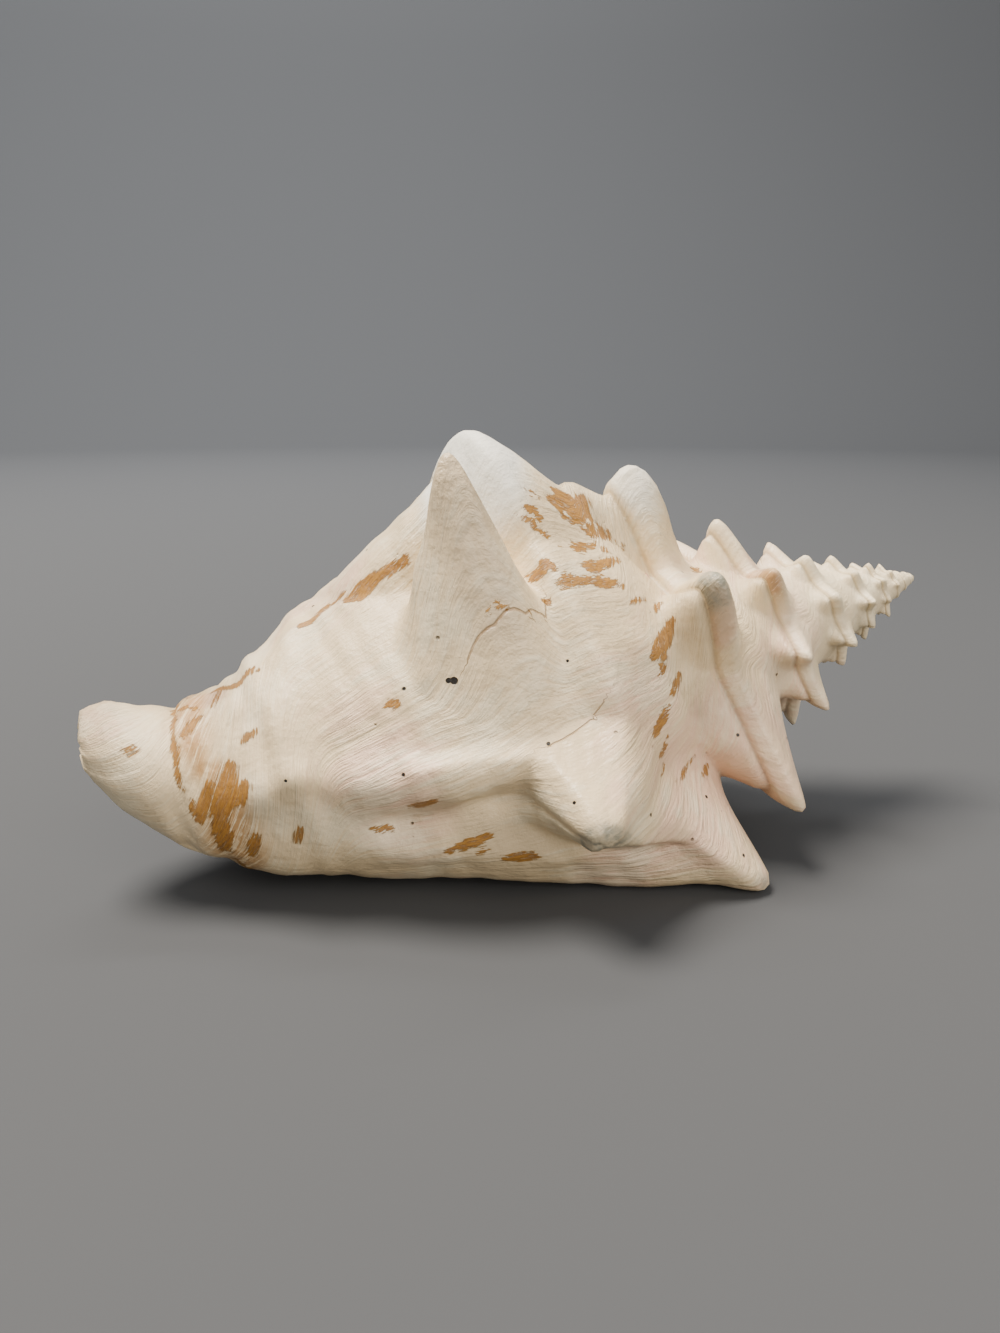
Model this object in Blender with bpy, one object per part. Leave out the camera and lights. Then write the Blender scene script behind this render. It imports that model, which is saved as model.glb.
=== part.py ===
"""A large weathered conch shell, lying on its opening with the flared lip on the far side."""
import math

import bmesh
import bpy
import numpy as np

# All lengths are in millimetres and all angles in degrees until the mesh is made.
SCALE = 0.001

# Spiral growth. The growth angle is zero on top of the last whorl and rises towards the lip.
WHORL_RATIO = 0.68
SHOULDER_R = 52.0
SHOULDER_U = 122.0
FIRST_ANGLE = -3010.0
LIP_ANGLE = 70.0
SUTURE_R = 0.965
SUTURE_U = 1.065
SHOULDER_ROW = 0.80
CORNER_ROW = 1.80

# How far the axis leans, with the apex raised towards +X, as the shell lies on its opening.
AXIS_TILT = 14.5

# Mesh density before it is simplified.
COLUMNS = 84
RAMP_ROWS = 12
BODY_ROWS = 24
CANAL_ROWS = 9
LIP_COLUMNS = 14
CHANNEL_COLUMNS = 40
TRIANGLES = 9600

# Thickness of the last whorl's wall, and of the lip at its rim.
WALL = 4.5
RIM = 3.0

# Profile of one whorl from suture to suture: row, then radius and distance from the apex as shares of the
# shoulder's.
RAMP = [
    (0.00, SUTURE_R * WHORL_RATIO, SUTURE_U * WHORL_RATIO),
    (0.22, 0.690, 0.790),
    (0.45, 0.765, 0.872),
    (0.65, 0.885, 0.945),
    (0.80, 1.000, 1.000),
    (0.90, 0.992, 1.032),
    (1.00, SUTURE_R, SUTURE_U),
]
# Profile of the body below the last suture: row, radius and distance from the apex.
BODY = [
    (1.00, SUTURE_R * SHOULDER_R, SUTURE_U * SHOULDER_U),
    (1.12, 49.2, 142.0),
    (1.28, 46.2, 157.0),
    (1.45, 39.0, 173.0),
    (1.62, 29.5, 190.0),
    (1.80, 22.6, 206.0),
    (1.92, 16.2, 218.5),
    (1.98, 11.3, 226.5),
    (2.00, 7.0, 230.3),
]
# How far the body rides above the axis, by distance from the apex. The canal curves up at its end.
RISE = [
    (100.0, 0.0), (120.0, 1.5), (140.0, 3.0), (160.0, 4.0), (180.0, 5.2),
    (200.0, 8.0), (215.0, 15.6), (230.0, 31.0), (245.0, 45.0),
]
# The canal's end is cut off aslant, and the tip of the spire is drawn out by a few millimetres.
CANAL_SLANT = 0.29
SPIRE_STRETCH = 3.5

# The shoulder spines: growth angle and row of the root, then growth angle, radius and distance of the tip,
# then the reach of the flanks before, after, towards the apex and towards the canal, then bluntness and hollow.
SPINES = [
    (-2, 0.88, (-6, 75.0, 125.5), (24, 30, 40, 41), 1.20, 1.15),
    (4, 1.14, (3, 52.5, 138), (18, 22, 18, 20), 1.00, 1.20),
    (-44, 1.14, (-21, 81.5, 133.5), (24, 17, 17, 17), 0.20, 1.50),
    (-99, 1.02, (-97.5, 62.0, 129.0), (16, 18, 16, 20), 0.50, 1.30),
    (-140, 0.74, (-133.5, 66.0, 85.5), (16, 30, 28, 52), 0.12, 1.40),
    (-363, 0.80, (-366, 56.5, 85.0), (13, 14, 15, 20), 1.00, 1.15),
    (-362, 0.66, (-362, 34.6, 75.0), (8, 9, 6, 8), 1.00, 1.00),
    (-416, 0.80, (-411, 51.5, 80), (14, 12, 11, 15), 0.60, 1.20),
    (-476, 0.76, (-487, 53.5, 70), (24, 18, 16, 18), 0.15, 1.15),
    (-535, 0.80, (-535, 38, 72), (10, 9, 9, 12), 0.30, 1.35),
    (-582, 0.80, (-582, 40, 68), (10, 9, 9, 12), 0.25, 1.35),
    (-628, 0.80, (-628, 39, 64), (9, 8, 9, 12), 0.20, 1.35),
    (-675, 0.80, (-675, 37.5, 61), (9, 8, 9, 12), 0.20, 1.35),
    (-720, 0.80, (-722, 35.6, 59), (9, 9, 8, 12), 0.35, 1.20),
    (-764, 0.80, (-764, 33.0, 56), (8, 8, 8, 11), 0.25, 1.30),
    (-806, 0.80, (-808, 31.2, 55), (8, 8, 8, 11), 0.18, 1.35),
    (-843, 0.80, (-845, 31.0, 49), (8, 8, 8, 10), 0.15, 1.40),
    (-888, 0.80, (-896, 31.0, 47), (8, 8, 7, 9), 0.12, 1.40),
]
# The older spines follow one rule and shrink with the whorls. Their reach is the radius of a tip at full size.
OLD_SPINE_ANGLE = -931.0
OLD_SPINE_STEP = 42.0
OLD_SPINE_LAST = -2250.0
SPINE_REACH = 69.0

# Folds and grooves: places as growth angle and row, then height and half width.
FOLDS = [
    ([(-94, 1.06), (-89, 1.15), (-86, 1.28), (-82, 1.40), (-79, 1.49)], 4.2, 7.0),
    ([(-93, 1.22), (-96, 1.34), (-98, 1.46)], -2.8, 4.5),
    ([(-119, 1.14), (-115, 1.33), (-110, 1.50)], 2.0, 6.0),
    ([(-72, 1.62), (-78, 1.66)], 2.8, 5.5),
    ([(14, 1.45), (-10, 1.50), (-35, 1.57), (-68, 1.65)], 1.8, 5.0),
    ([(-62, 0.30), (-58, 0.55), (-70, 0.80)], 1.2, 7.0),
    ([(-97, 1.19), (-104, 1.12), (-107, 1.04)], -1.4, 2.4),
    ([(45, 1.84), (0, 1.835), (-50, 1.86), (-95, 1.885), (-140, 1.88)], -1.3, 2.0),
]

# The flared lip by row: how long its path is beyond the whorl, and how much it spreads towards the canal.
# The turn is how far the path bends outwards on its way to the rim.
LIP_PATH = [
    (0.00, 0.0, -0.45), (0.10, 14.0, -0.50), (0.30, 39.0, -0.50), (0.60, 61.0, -0.45), (0.85, 72.0, -0.38),
    (1.10, 71.0, -0.12), (1.30, 60.0, 0.00), (1.45, 48.5, 0.08), (1.60, 34.0, 0.12), (1.72, 16.0, 0.15),
    (1.80, 0.0, 0.15),
]
LIP_TURN = 52.0

# The flattened underside beside the opening.
CALLUS_ANGLE = 185.0
CALLUS_DEPTH = 6.3

# The way in: how far round it goes, the radius of the columella, and where the slot under the canal lies.
CHANNEL_SWEEP = 165.0
COLUMELLA = 9.0
SLOT_ANGLE = 116.0


def smooth(x):
    """Ease from 0 to 1."""
    x = np.clip(x, 0.0, 1.0)
    return x * x * (3.0 - 2.0 * x)


def curve(table, column, t):
    """A smooth curve through one column of a table."""
    x = np.array([row[0] for row in table], float)
    y = np.array([row[column] for row in table], float)
    slope = np.gradient(y, x)
    t = np.asarray(t, float)
    k = np.clip(np.searchsorted(x, t) - 1, 0, len(x) - 2)
    width = x[k + 1] - x[k]
    a = np.clip((t - x[k]) / width, 0.0, 1.0)
    start = (2 * a**3 - 3 * a**2 + 1) * y[k] + (a**3 - 2 * a**2 + a) * width * slope[k]
    end = (3 * a**2 - 2 * a**3) * y[k + 1] + (a**3 - a**2) * width * slope[k + 1]
    return start + end


def size(angle):
    """Size of the whorl at a growth angle, with 1 on top of the last whorl."""
    return WHORL_RATIO ** (-np.asarray(angle, float) / 360.0)


def spiral(angle, row):
    """Radius and distance from the apex of the plain spiral."""
    angle, row = np.broadcast_arrays(np.asarray(angle, float), np.asarray(row, float))
    s = size(angle)
    keep = smooth((row - 1.0) / (CORNER_ROW - 1.0))
    scale = s * (1.0 - keep) + keep
    r = np.where(row <= 1.0, s * SHOULDER_R * curve(RAMP, 1, row), scale * curve(BODY, 1, row))
    u = np.where(row <= 1.0, s * SHOULDER_U * curve(RAMP, 2, row), scale * curve(BODY, 2, row))
    return r, u


PROFILE_ROWS = np.linspace(0.0, 2.0, 401)
PROFILE_R, PROFILE_U = spiral(0.0, PROFILE_ROWS)
PROFILE_PATH = np.concatenate([[0.0], np.cumsum(np.hypot(np.diff(PROFILE_R), np.diff(PROFILE_U)))])


def path(row):
    """Length along the full-size profile, from the shoulder towards the canal."""
    return np.interp(row, PROFILE_ROWS, PROFILE_PATH) - np.interp(SHOULDER_ROW, PROFILE_ROWS, PROFILE_PATH)


def point(angle, r, u):
    """A point in the shell's axes: up, far and along the axis from the apex."""
    turn = np.radians(angle)
    return np.stack(np.broadcast_arrays(r * np.cos(turn), r * np.sin(turn), u), -1).astype(float)


def swell(angle, row):
    """How far the last ramp climbs up the spire near the lip."""
    climb = smooth((np.asarray(angle, float) + 75.0) / 70.0)
    return 12.5 * climb * smooth(np.asarray(row) / 0.35) * (1.0 - smooth((np.asarray(row) - 0.55) / 0.6))


def callus(angle, row):
    """How far the underside of the body is flattened beside the opening."""
    row = np.asarray(row)
    turn = np.exp(-((np.asarray(angle, float) + CALLUS_ANGLE) / 34.0) ** 2)
    return CALLUS_DEPTH * turn * smooth((row - 0.55) / 0.6) * (1.0 - smooth((row - 1.66) / 0.3))


def keel(angle, row):
    """The low spiral ridge above the canal."""
    away = path(row) - path(1.60)
    return 1.6 * np.exp(-(away / 3.2) ** 2) * smooth((np.asarray(angle) + 130.0) / 60.0)


def all_spines():
    """The listed spines and those that follow the rule."""
    found = list(SPINES)
    angle = OLD_SPINE_ANGLE
    count = 0
    while angle > OLD_SPINE_LAST:
        s = float(size(angle))
        tip = (angle - 2.0, s * SPINE_REACH * (1.0 + 0.06 * math.sin(count * 2.4)), s * 125.0)
        found.append((angle, 0.80, tip, (s * 18.0, s * 17.0, s * 17.0, s * 24.0), 0.25, 1.30))
        angle -= OLD_SPINE_STEP
        count += 1
    return found


def flank(d, blunt, hollow):
    """Height of a spine at a share of its reach."""
    d = np.clip(d, 0.0, 1.0)
    e = (np.sqrt(d * d + blunt * blunt) - blunt) / (math.sqrt(1.0 + blunt * blunt) - blunt)
    return (1.0 - e) ** hollow


def spine_push(angle, row):
    """How far the spines push each point outwards, as vectors."""
    total = np.zeros(angle.shape + (3,))
    s = size(angle)
    here = path(row)
    for root, root_row, tip, reach, blunt, hollow in all_spines():
        root_r, root_u = spiral(root, root_row)
        push = point(*tip) - point(root, root_r + swell(root, root_row), root_u)
        push[0] -= curve(RISE, 1, tip[2])
        start = path(root_row) * size(root)
        for turn in (0, 1):
            away = angle - root - 360.0 * turn
            arc = np.radians(away) * root_r
            if turn == 0:
                down = here * s - start
            else:
                down = path(1.0) * size(root) - start + (here - path(0.0)) * s
            wide = np.where(arc < 0.0, reach[0], reach[1])
            tall = np.where(down < 0.0, reach[2], reach[3])
            d = np.hypot(arc / wide, down / tall)
            height = np.where((np.abs(away) < 100.0) & (d < 1.0), flank(d, blunt, hollow), 0.0)
            total += height[..., None] * push
    return total


def across_and_down(angle, row, place):
    """Distances in millimetres along the surface from a place: round the whorl and towards the canal."""
    s = size(place[0])
    arc = np.radians(angle - place[0]) * SHOULDER_R * s * (1.0 - 0.5 * smooth((row - 1.2) / 0.8))
    down = (path(row) - path(place[1])) * np.where(row <= 1.0, s, 1.0)
    return arc, down


def beside(angle, row, first, last):
    """Distance in millimetres along the surface from a line between two places."""
    arc, down = across_and_down(angle, row, first)
    end_arc, end_down = across_and_down(np.array(last[0]), np.array(last[1]), first)
    length = max(1e-6, float(end_arc ** 2 + end_down ** 2))
    share = np.clip((arc * end_arc + down * end_down) / length, 0.0, 1.0)
    return np.hypot(arc - share * end_arc, down - share * end_down)


def folds(angle, row):
    """Height of the folds and depth of the grooves on the body."""
    total = np.zeros(angle.shape)
    for line, height, width in FOLDS:
        away = np.min([beside(angle, row, a, b) for a, b in zip(line[:-1], line[1:])], axis=0)
        total += height * np.exp(-(away / width) ** 2)
    return total


def slot(angle, row):
    """Share of the way into the open slot under the canal."""
    turn = (np.asarray(angle, float) - SLOT_ANGLE + 180.0) % 360.0 - 180.0
    return np.exp(-(turn / 23.0) ** 2) * smooth((row - 1.66) / 0.18)


def hollow_side(angle, row):
    """Share of the way from the body's surface to the columella beside and inside the opening."""
    across = smooth((row - 1.02) / 0.22) * (1.0 - smooth((row - 1.62) / 0.17))
    return across * smooth((-205.0 - np.asarray(angle, float)) / 110.0)


def lip_shift(share, row):
    """The way from the whorl's last growth line to a share of the lip's path."""
    length = curve(LIP_PATH, 1, row)
    spread = curve(LIP_PATH, 2, row)
    steps = np.linspace(0.0, 1.0, 41)
    turn = np.radians(LIP_TURN * steps ** 1.3)
    ahead = np.concatenate([[0.0], np.cumsum((np.cos(turn[1:]) + np.cos(turn[:-1])) / 80.0)])
    outward = np.concatenate([[0.0], np.cumsum((np.sin(turn[1:]) + np.sin(turn[:-1])) / 80.0)])
    a = np.interp(share, steps, ahead) * length
    b = np.interp(share, steps, outward) * length
    c, d = math.cos(math.radians(LIP_ANGLE)), math.sin(math.radians(LIP_ANGLE))
    sideways = length * spread * np.maximum(share, 0.0) ** 1.2
    return np.stack([b * c - a * d, b * d + a * c, sideways], -1)


def surface(angle, row, share=0.0, plain=False):
    """A point of the outside. With plain, without the spines and ridges that the inside doesn't follow."""
    given = [np.asarray(value, float) for value in (angle, row, share)]
    angle, row, share = np.broadcast_arrays(*given)
    r, u = spiral(angle, row)
    r = r + swell(angle, row)
    if not plain:
        r = r + keel(angle, row) + folds(angle, row) - callus(angle, row)
        inward = hollow_side(angle, row)
        r = r * (1.0 - inward) + COLUMELLA * inward
        r = r * (1.0 - 0.55 * slot(angle, row))
    p = point(angle, r, u)
    if not plain:
        p = p + spine_push(angle, row)
    p = p + np.where(share[..., None] > 0.0, lip_shift(share, row), 0.0)
    return bend(p)


def thickness(row):
    """Share of the full wall at a row. It thins out where the wall meets the columella."""
    return smooth(row / 0.18) * smooth((CORNER_ROW - row) / 0.18)


def bend(p):
    """Lift the body a little off the axis, curve the canal up and draw out the spire."""
    along = p[..., 2].copy()
    p[..., 2] -= SPIRE_STRETCH * smooth((60.0 - along) / 60.0)
    p[..., 2] -= CANAL_SLANT * p[..., 0] * smooth((along - 205.0) / 30.0)
    p[..., 0] += curve(RISE, 1, along)
    return p


def columella_side(angle, row):
    """Radius and distance of the surface that the last whorl is wound on, beside and inside the opening."""
    r, u = spiral(angle, row)
    inward = hollow_side(angle, row)
    return r * (1.0 - inward) + COLUMELLA * inward, u


def wall_inside(angle, row):
    """A point of the inner face of the last whorl's wall, never past the middle of the way through."""
    r, u = spiral(angle, row)
    r = r + swell(angle, row)
    side_rows = np.linspace(1.0, CORNER_ROW, 61)
    side_r, side_u = columella_side(angle[:, :1] - 360.0, side_rows[None, :])
    across = np.stack([np.interp(line, us, rs) for line, us, rs in zip(u, side_u, side_r)])
    first = side_u[:, :1] + WALL
    last = side_u[:, -1:] - WALL
    middle_u = np.clip(u, first, last)
    middle_r = 0.5 * (across + r)
    way_r, way_u = middle_r - r, middle_u - u
    slope_r, slope_u = np.gradient(r, axis=1), np.gradient(u, axis=1)
    length = np.maximum(np.hypot(slope_r, slope_u), 1e-9)
    normal_r, normal_u = -slope_u / length, slope_r / length
    way = np.maximum(np.hypot(way_r, way_u), 1e-9)
    blend_r, blend_u = normal_r + 0.6 * way_r / way, normal_u + 0.6 * way_u / way
    blend = np.maximum(np.hypot(blend_r, blend_u), 1e-9)
    step = np.minimum(WALL * thickness(row), 0.55 * np.abs(r - across))
    return bend(point(angle, r + step * blend_r / blend, u + step * blend_u / blend))


def lip_inside(row, share):
    """A point of the inner face of the lip."""
    step = 0.02
    here = surface(LIP_ANGLE, row, share, plain=True)
    forward = surface(LIP_ANGLE, row, share + step, plain=True)
    forward -= surface(LIP_ANGLE, row, share - step, plain=True)
    across = surface(LIP_ANGLE, row + 0.01, share, plain=True)
    across -= surface(LIP_ANGLE, row - 0.01, share, plain=True)
    normal = np.cross(forward, across)
    normal /= np.maximum(np.linalg.norm(normal, axis=-1, keepdims=True), 1e-9)
    thick = (WALL + (RIM - WALL) * share) * thickness(row)
    return here - normal * thick[..., None]


class Mesh:
    """Vertices and faces as they are added."""

    def __init__(self):
        self.points = []
        self.faces = []

    def add(self, points):
        """Add points and give back their numbers in the same layout."""
        points = np.asarray(points, float)
        first = len(self.points)
        self.points.extend(points.reshape(-1, 3).tolist())
        return np.arange(first, len(self.points)).reshape(points.shape[:-1])

    def quads(self, grid):
        """Faces between the neighbours of a grid of vertex numbers, with triangles where two are one."""
        for line, following in zip(grid[:-1], grid[1:]):
            for k in range(len(line) - 1):
                corners = [line[k], following[k], following[k + 1], line[k + 1]]
                kept = [c for n, c in enumerate(corners) if c != corners[n - 1]]
                if len(kept) > 2:
                    self.faces.append([int(c) for c in kept])

    def fan(self, loop, centre):
        """Close a loop of vertices around one point."""
        for a, b in zip(loop, np.roll(loop, -1)):
            self.faces.append([int(a), int(b), int(centre)])


def shell_mesh():
    """The whole shell as one closed surface: spire, body, canal, lip and the way in."""
    mesh = Mesh()
    turn = COLUMNS
    total = int(round((LIP_ANGLE - FIRST_ANGLE) / 360.0 * turn))
    angles = LIP_ANGLE - (total - np.arange(total + 1)) * 360.0 / turn
    start = total - turn
    ramp_rows = np.arange(RAMP_ROWS) / RAMP_ROWS
    body_rows = np.concatenate([
        np.linspace(1.0, CORNER_ROW, BODY_ROWS + 1),
        np.linspace(CORNER_ROW, 2.0, CANAL_ROWS + 1)[1:],
    ])

    # The ramp winds from the apex to the lip, and each whorl's last row is the next whorl's first.
    ramp = mesh.add(surface(angles[:, None], ramp_rows[None, :]))
    # The body hangs from the last turn. Its first column is also the end of the lip's last row.
    body = mesh.add(surface(angles[start:, None], body_rows[None, :]))
    body[-1, BODY_ROWS:] = body[0, BODY_ROWS:]
    ramp[-1, 0] = body[0, 0]
    strip = np.concatenate([ramp, np.zeros((total + 1, 1), int)], 1)
    strip[:start, -1] = ramp[turn:total, 0]
    strip[start:, -1] = body[:, 0]
    mesh.quads(strip)
    mesh.quads(body)

    # The tip of the canal.
    ring = body[:-1, -1]
    tip = surface(0.0, 2.0) * 0.5 + surface(180.0, 2.0) * 0.5
    middle = np.array([mesh.points[k] for k in ring])
    inner = mesh.add(tip + (middle - tip) * 0.5 + np.array([0.0, 0.0, 0.8]))
    mesh.quads(np.stack([np.append(ring, ring[0]), np.append(inner, inner[0])], 1))
    mesh.fan(inner, mesh.add(tip + np.array([0.0, 0.0, -1.5])))

    # The apex.
    apex = mesh.add(np.array([0.0, 0.0, surface(angles[0], 0.0)[2] - 1.2]))
    loop = np.concatenate([ramp[:turn, 0], strip[0, ::-1][:-1]])
    mesh.fan(loop[::-1], apex)

    # The outside of the lip.
    rows = np.concatenate([ramp_rows, body_rows[:BODY_ROWS + 1]])
    shares = np.linspace(0.0, 1.0, LIP_COLUMNS + 1)[1:]
    first = np.concatenate([ramp[-1], body[-1, :BODY_ROWS + 1]])
    lip = mesh.add(surface(LIP_ANGLE, rows[None, :], shares[:, None]))
    lip[:, 0] = body[0, 0]
    lip[:, -1] = body[0, BODY_ROWS]
    mesh.quads(np.concatenate([first[None, :], lip], 0))

    # The inner face of the lip and of the wall, and the columella side across from it.
    depth = np.arange(CHANNEL_COLUMNS + 1) * (CHANNEL_SWEEP / CHANNEL_COLUMNS)
    narrow = 0.70 * smooth((depth - 0.55 * CHANNEL_SWEEP) / (0.5 * CHANNEL_SWEEP))[:, None, None]
    side_r, side_u = columella_side(LIP_ANGLE - 360.0 - depth[1:, None], body_rows[None, 1:BODY_ROWS])
    side_points = bend(point(LIP_ANGLE - depth[1:, None], side_r, side_u))
    wall_points = wall_inside(*np.broadcast_arrays(LIP_ANGLE - depth[:, None], rows[None, :]))
    centre = 0.5 * (side_points.mean(1) + wall_points[1:].mean(1))[:, None]
    side_points += (centre - side_points) * narrow[1:]
    wall_points[1:] += (centre - wall_points[1:]) * narrow[1:]
    edge_points = lip_inside(*np.broadcast_arrays(rows[None, :], shares[:, None]))
    root_points = lip_inside(rows, 0.03 + 0.0 * rows)
    wall_points[1:, 1] = 0.5 * (wall_points[1:, 2] + side_points[:, 0])
    wall_points[1:, -2] = 0.5 * (wall_points[1:, -3] + side_points[:, -1])
    edge_points += (wall_points[0] - root_points) * (1.0 - smooth(shares / 0.35))[:, None, None]
    side = mesh.add(side_points)
    side = np.concatenate([body[:1, 1:BODY_ROWS], side], 0)
    wall = mesh.add(wall_points)
    edge = mesh.add(edge_points)
    wall[:, 0] = side[:, 0]
    wall[:, -1] = side[:, -1]
    edge[:, 0] = body[0, 1]
    edge[:, -1] = body[0, BODY_ROWS - 1]
    mesh.quads(side[::-1])
    mesh.quads(np.concatenate([edge[::-1], wall], 0))

    # The rounded rim between both faces of the lip.
    outer_rim, inner_rim = lip[-1], edge[-1]
    beyond = surface(LIP_ANGLE, rows, 1.02, plain=True)
    beyond -= surface(LIP_ANGLE, rows, 0.98, plain=True)
    beyond /= np.maximum(np.linalg.norm(beyond, axis=-1, keepdims=True), 1e-9)
    places = np.array(mesh.points)
    middle = 0.5 * (places[outer_rim] + places[inner_rim])
    nose_points = middle + beyond * 0.45 * RIM * thickness(rows)[:, None]
    nose = mesh.add(nose_points[1:-1])
    nose = np.concatenate([outer_rim[:1], nose, outer_rim[-1:]])
    mesh.quads(np.stack([outer_rim, nose, inner_rim], 0))

    # The blind end of the way in.
    facing = np.round(np.linspace(0, side.shape[1] - 1, wall.shape[1])).astype(int)
    mesh.quads(np.stack([wall[-1], side[-1, facing]], 0))
    return mesh


def row_frame(points):
    """From the shell's axes to the resting position, apex towards +X and far side towards +Y."""
    tilt = math.radians(AXIS_TILT)
    axis = np.array([math.cos(tilt), 0.0, math.sin(tilt)])
    up = np.array([-math.sin(tilt), 0.0, math.cos(tilt)])
    far = np.array([0.0, 1.0, 0.0])
    placed = points[:, 0:1] * up + points[:, 1:2] * far - points[:, 2:3] * axis
    low, high = placed.min(0), placed.max(0)
    return placed - np.array([(low[0] + high[0]) / 2.0, (low[1] + high[1]) / 2.0, low[2]])


def shell_material():
    """Weathered cream shell."""
    material = bpy.data.materials.new("shell_cream")
    material.use_nodes = True
    principled = material.node_tree.nodes["Principled BSDF"]
    principled.inputs["Base Color"].default_value = (0.78, 0.68, 0.58, 1.0)
    principled.inputs["Roughness"].default_value = 0.55
    principled.inputs["Metallic"].default_value = 0.0
    return material


def main():
    """Make the shell as one closed solid."""
    for item in list(bpy.data.objects):
        bpy.data.objects.remove(item, do_unlink=True)
    built = shell_mesh()
    places = row_frame(np.array(built.points)) * SCALE
    data = bpy.data.meshes.new("conch_shell")
    data.from_pydata(places.tolist(), [], built.faces)
    tidy = bmesh.new()
    tidy.from_mesh(data)
    bmesh.ops.delete(tidy, geom=[v for v in tidy.verts if not v.link_faces], context="VERTS")
    bmesh.ops.recalc_face_normals(tidy, faces=tidy.faces)
    tidy.to_mesh(data)
    tidy.free()
    data.materials.append(shell_material())
    shell = bpy.data.objects.new("conch_shell", data)
    bpy.context.scene.collection.objects.link(shell)
    count = sum(len(face) - 2 for face in built.faces)
    simplify = shell.modifiers.new("simplify", "DECIMATE")
    simplify.decimate_type = "COLLAPSE"
    simplify.ratio = min(1.0, TRIANGLES / count)
    simplify.use_collapse_triangulate = True


main()
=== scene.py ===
"""The looks of a large weathered conch shell: its fine surface, its colours, a plain floor and soft light."""
import math

import bmesh
import bpy
import numpy as np
from bpy.props import FloatProperty, FloatVectorProperty, PointerProperty
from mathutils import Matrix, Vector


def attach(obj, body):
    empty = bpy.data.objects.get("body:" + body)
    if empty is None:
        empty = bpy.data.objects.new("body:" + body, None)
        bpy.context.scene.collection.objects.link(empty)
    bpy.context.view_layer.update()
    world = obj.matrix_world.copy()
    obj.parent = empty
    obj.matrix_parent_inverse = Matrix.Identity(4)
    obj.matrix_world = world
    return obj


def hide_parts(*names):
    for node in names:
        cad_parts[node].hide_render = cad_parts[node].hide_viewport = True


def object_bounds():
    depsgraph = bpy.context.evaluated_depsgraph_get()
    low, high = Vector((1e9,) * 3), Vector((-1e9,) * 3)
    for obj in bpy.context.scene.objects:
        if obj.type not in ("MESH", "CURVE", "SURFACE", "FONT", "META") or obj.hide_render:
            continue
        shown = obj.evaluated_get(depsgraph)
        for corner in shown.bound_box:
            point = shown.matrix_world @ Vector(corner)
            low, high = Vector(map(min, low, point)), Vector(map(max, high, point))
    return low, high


bl_info = {
    "name": "Conch shell",
    "version": (1, 0, 0),
    "blender": (4, 5, 0),
    "location": "View3D > Sidebar > Conch shell",
    "description": "Grows a weathered conch shell with its markings, on a plain floor",
    "category": "Add Mesh",
}

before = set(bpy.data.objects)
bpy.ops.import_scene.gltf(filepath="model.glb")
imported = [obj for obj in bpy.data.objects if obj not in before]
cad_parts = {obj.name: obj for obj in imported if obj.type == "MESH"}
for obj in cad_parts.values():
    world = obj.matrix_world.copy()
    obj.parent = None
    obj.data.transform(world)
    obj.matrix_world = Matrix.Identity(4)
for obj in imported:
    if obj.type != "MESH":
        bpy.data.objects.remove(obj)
BOX_LOW, BOX_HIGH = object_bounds()
LENGTH = BOX_HIGH[0] - BOX_LOW[0]

# The shell is grown in millimetres and degrees, and its mesh is in metres.
SCALE = 0.001

# Spiral growth. The growth angle is zero on top of the last whorl and rises towards the lip.
WHORL_RATIO = 0.68
SHOULDER_R = 52.0
SHOULDER_U = 122.0
FIRST_ANGLE = -3010.0
LIP_ANGLE = 70.0
SUTURE_R = 0.965
SUTURE_U = 1.065
SHOULDER_ROW = 0.80
CORNER_ROW = 1.80

# Resting position of the axis, with the apex towards +X.
AXIS_TILT = 14.5

# Columns of each whorl, from the last one to the first, and rows of the ramp, body, canal, lip and channel.
WHORL_COLUMNS = (336, 168, 168, 84, 84, 84, 42, 42, 42)
RAMP_ROWS = 30
BODY_ROWS = 90
CANAL_ROWS = 26
LIP_COLUMNS = 60
CHANNEL_COLUMNS = 60

WALL = 4.5
RIM = 3.0

# Profile of one whorl from suture to suture: row, radius and distance from the apex as shares of the shoulder's.
RAMP = [
    (0.00, SUTURE_R * WHORL_RATIO, SUTURE_U * WHORL_RATIO),
    (0.22, 0.690, 0.790),
    (0.45, 0.765, 0.872),
    (0.65, 0.885, 0.945),
    (0.80, 1.000, 1.000),
    (0.90, 0.992, 1.032),
    (1.00, SUTURE_R, SUTURE_U),
]
# Profile of the body below the last suture: row, radius and distance from the apex.
BODY = [
    (1.00, SUTURE_R * SHOULDER_R, SUTURE_U * SHOULDER_U),
    (1.12, 49.2, 142.0),
    (1.28, 46.2, 157.0),
    (1.45, 39.0, 173.0),
    (1.62, 29.5, 190.0),
    (1.80, 22.6, 206.0),
    (1.92, 16.2, 218.5),
    (1.98, 11.3, 226.5),
    (2.00, 7.0, 230.3),
]
# How far the body rides above the axis, by distance from the apex. The canal curves up at its end.
RISE = [
    (100.0, 0.0), (120.0, 1.5), (140.0, 3.0), (160.0, 4.0), (180.0, 5.2),
    (200.0, 8.0), (215.0, 15.6), (230.0, 31.0), (245.0, 45.0),
]
CANAL_SLANT = 0.29
SPIRE_STRETCH = 3.5

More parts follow.
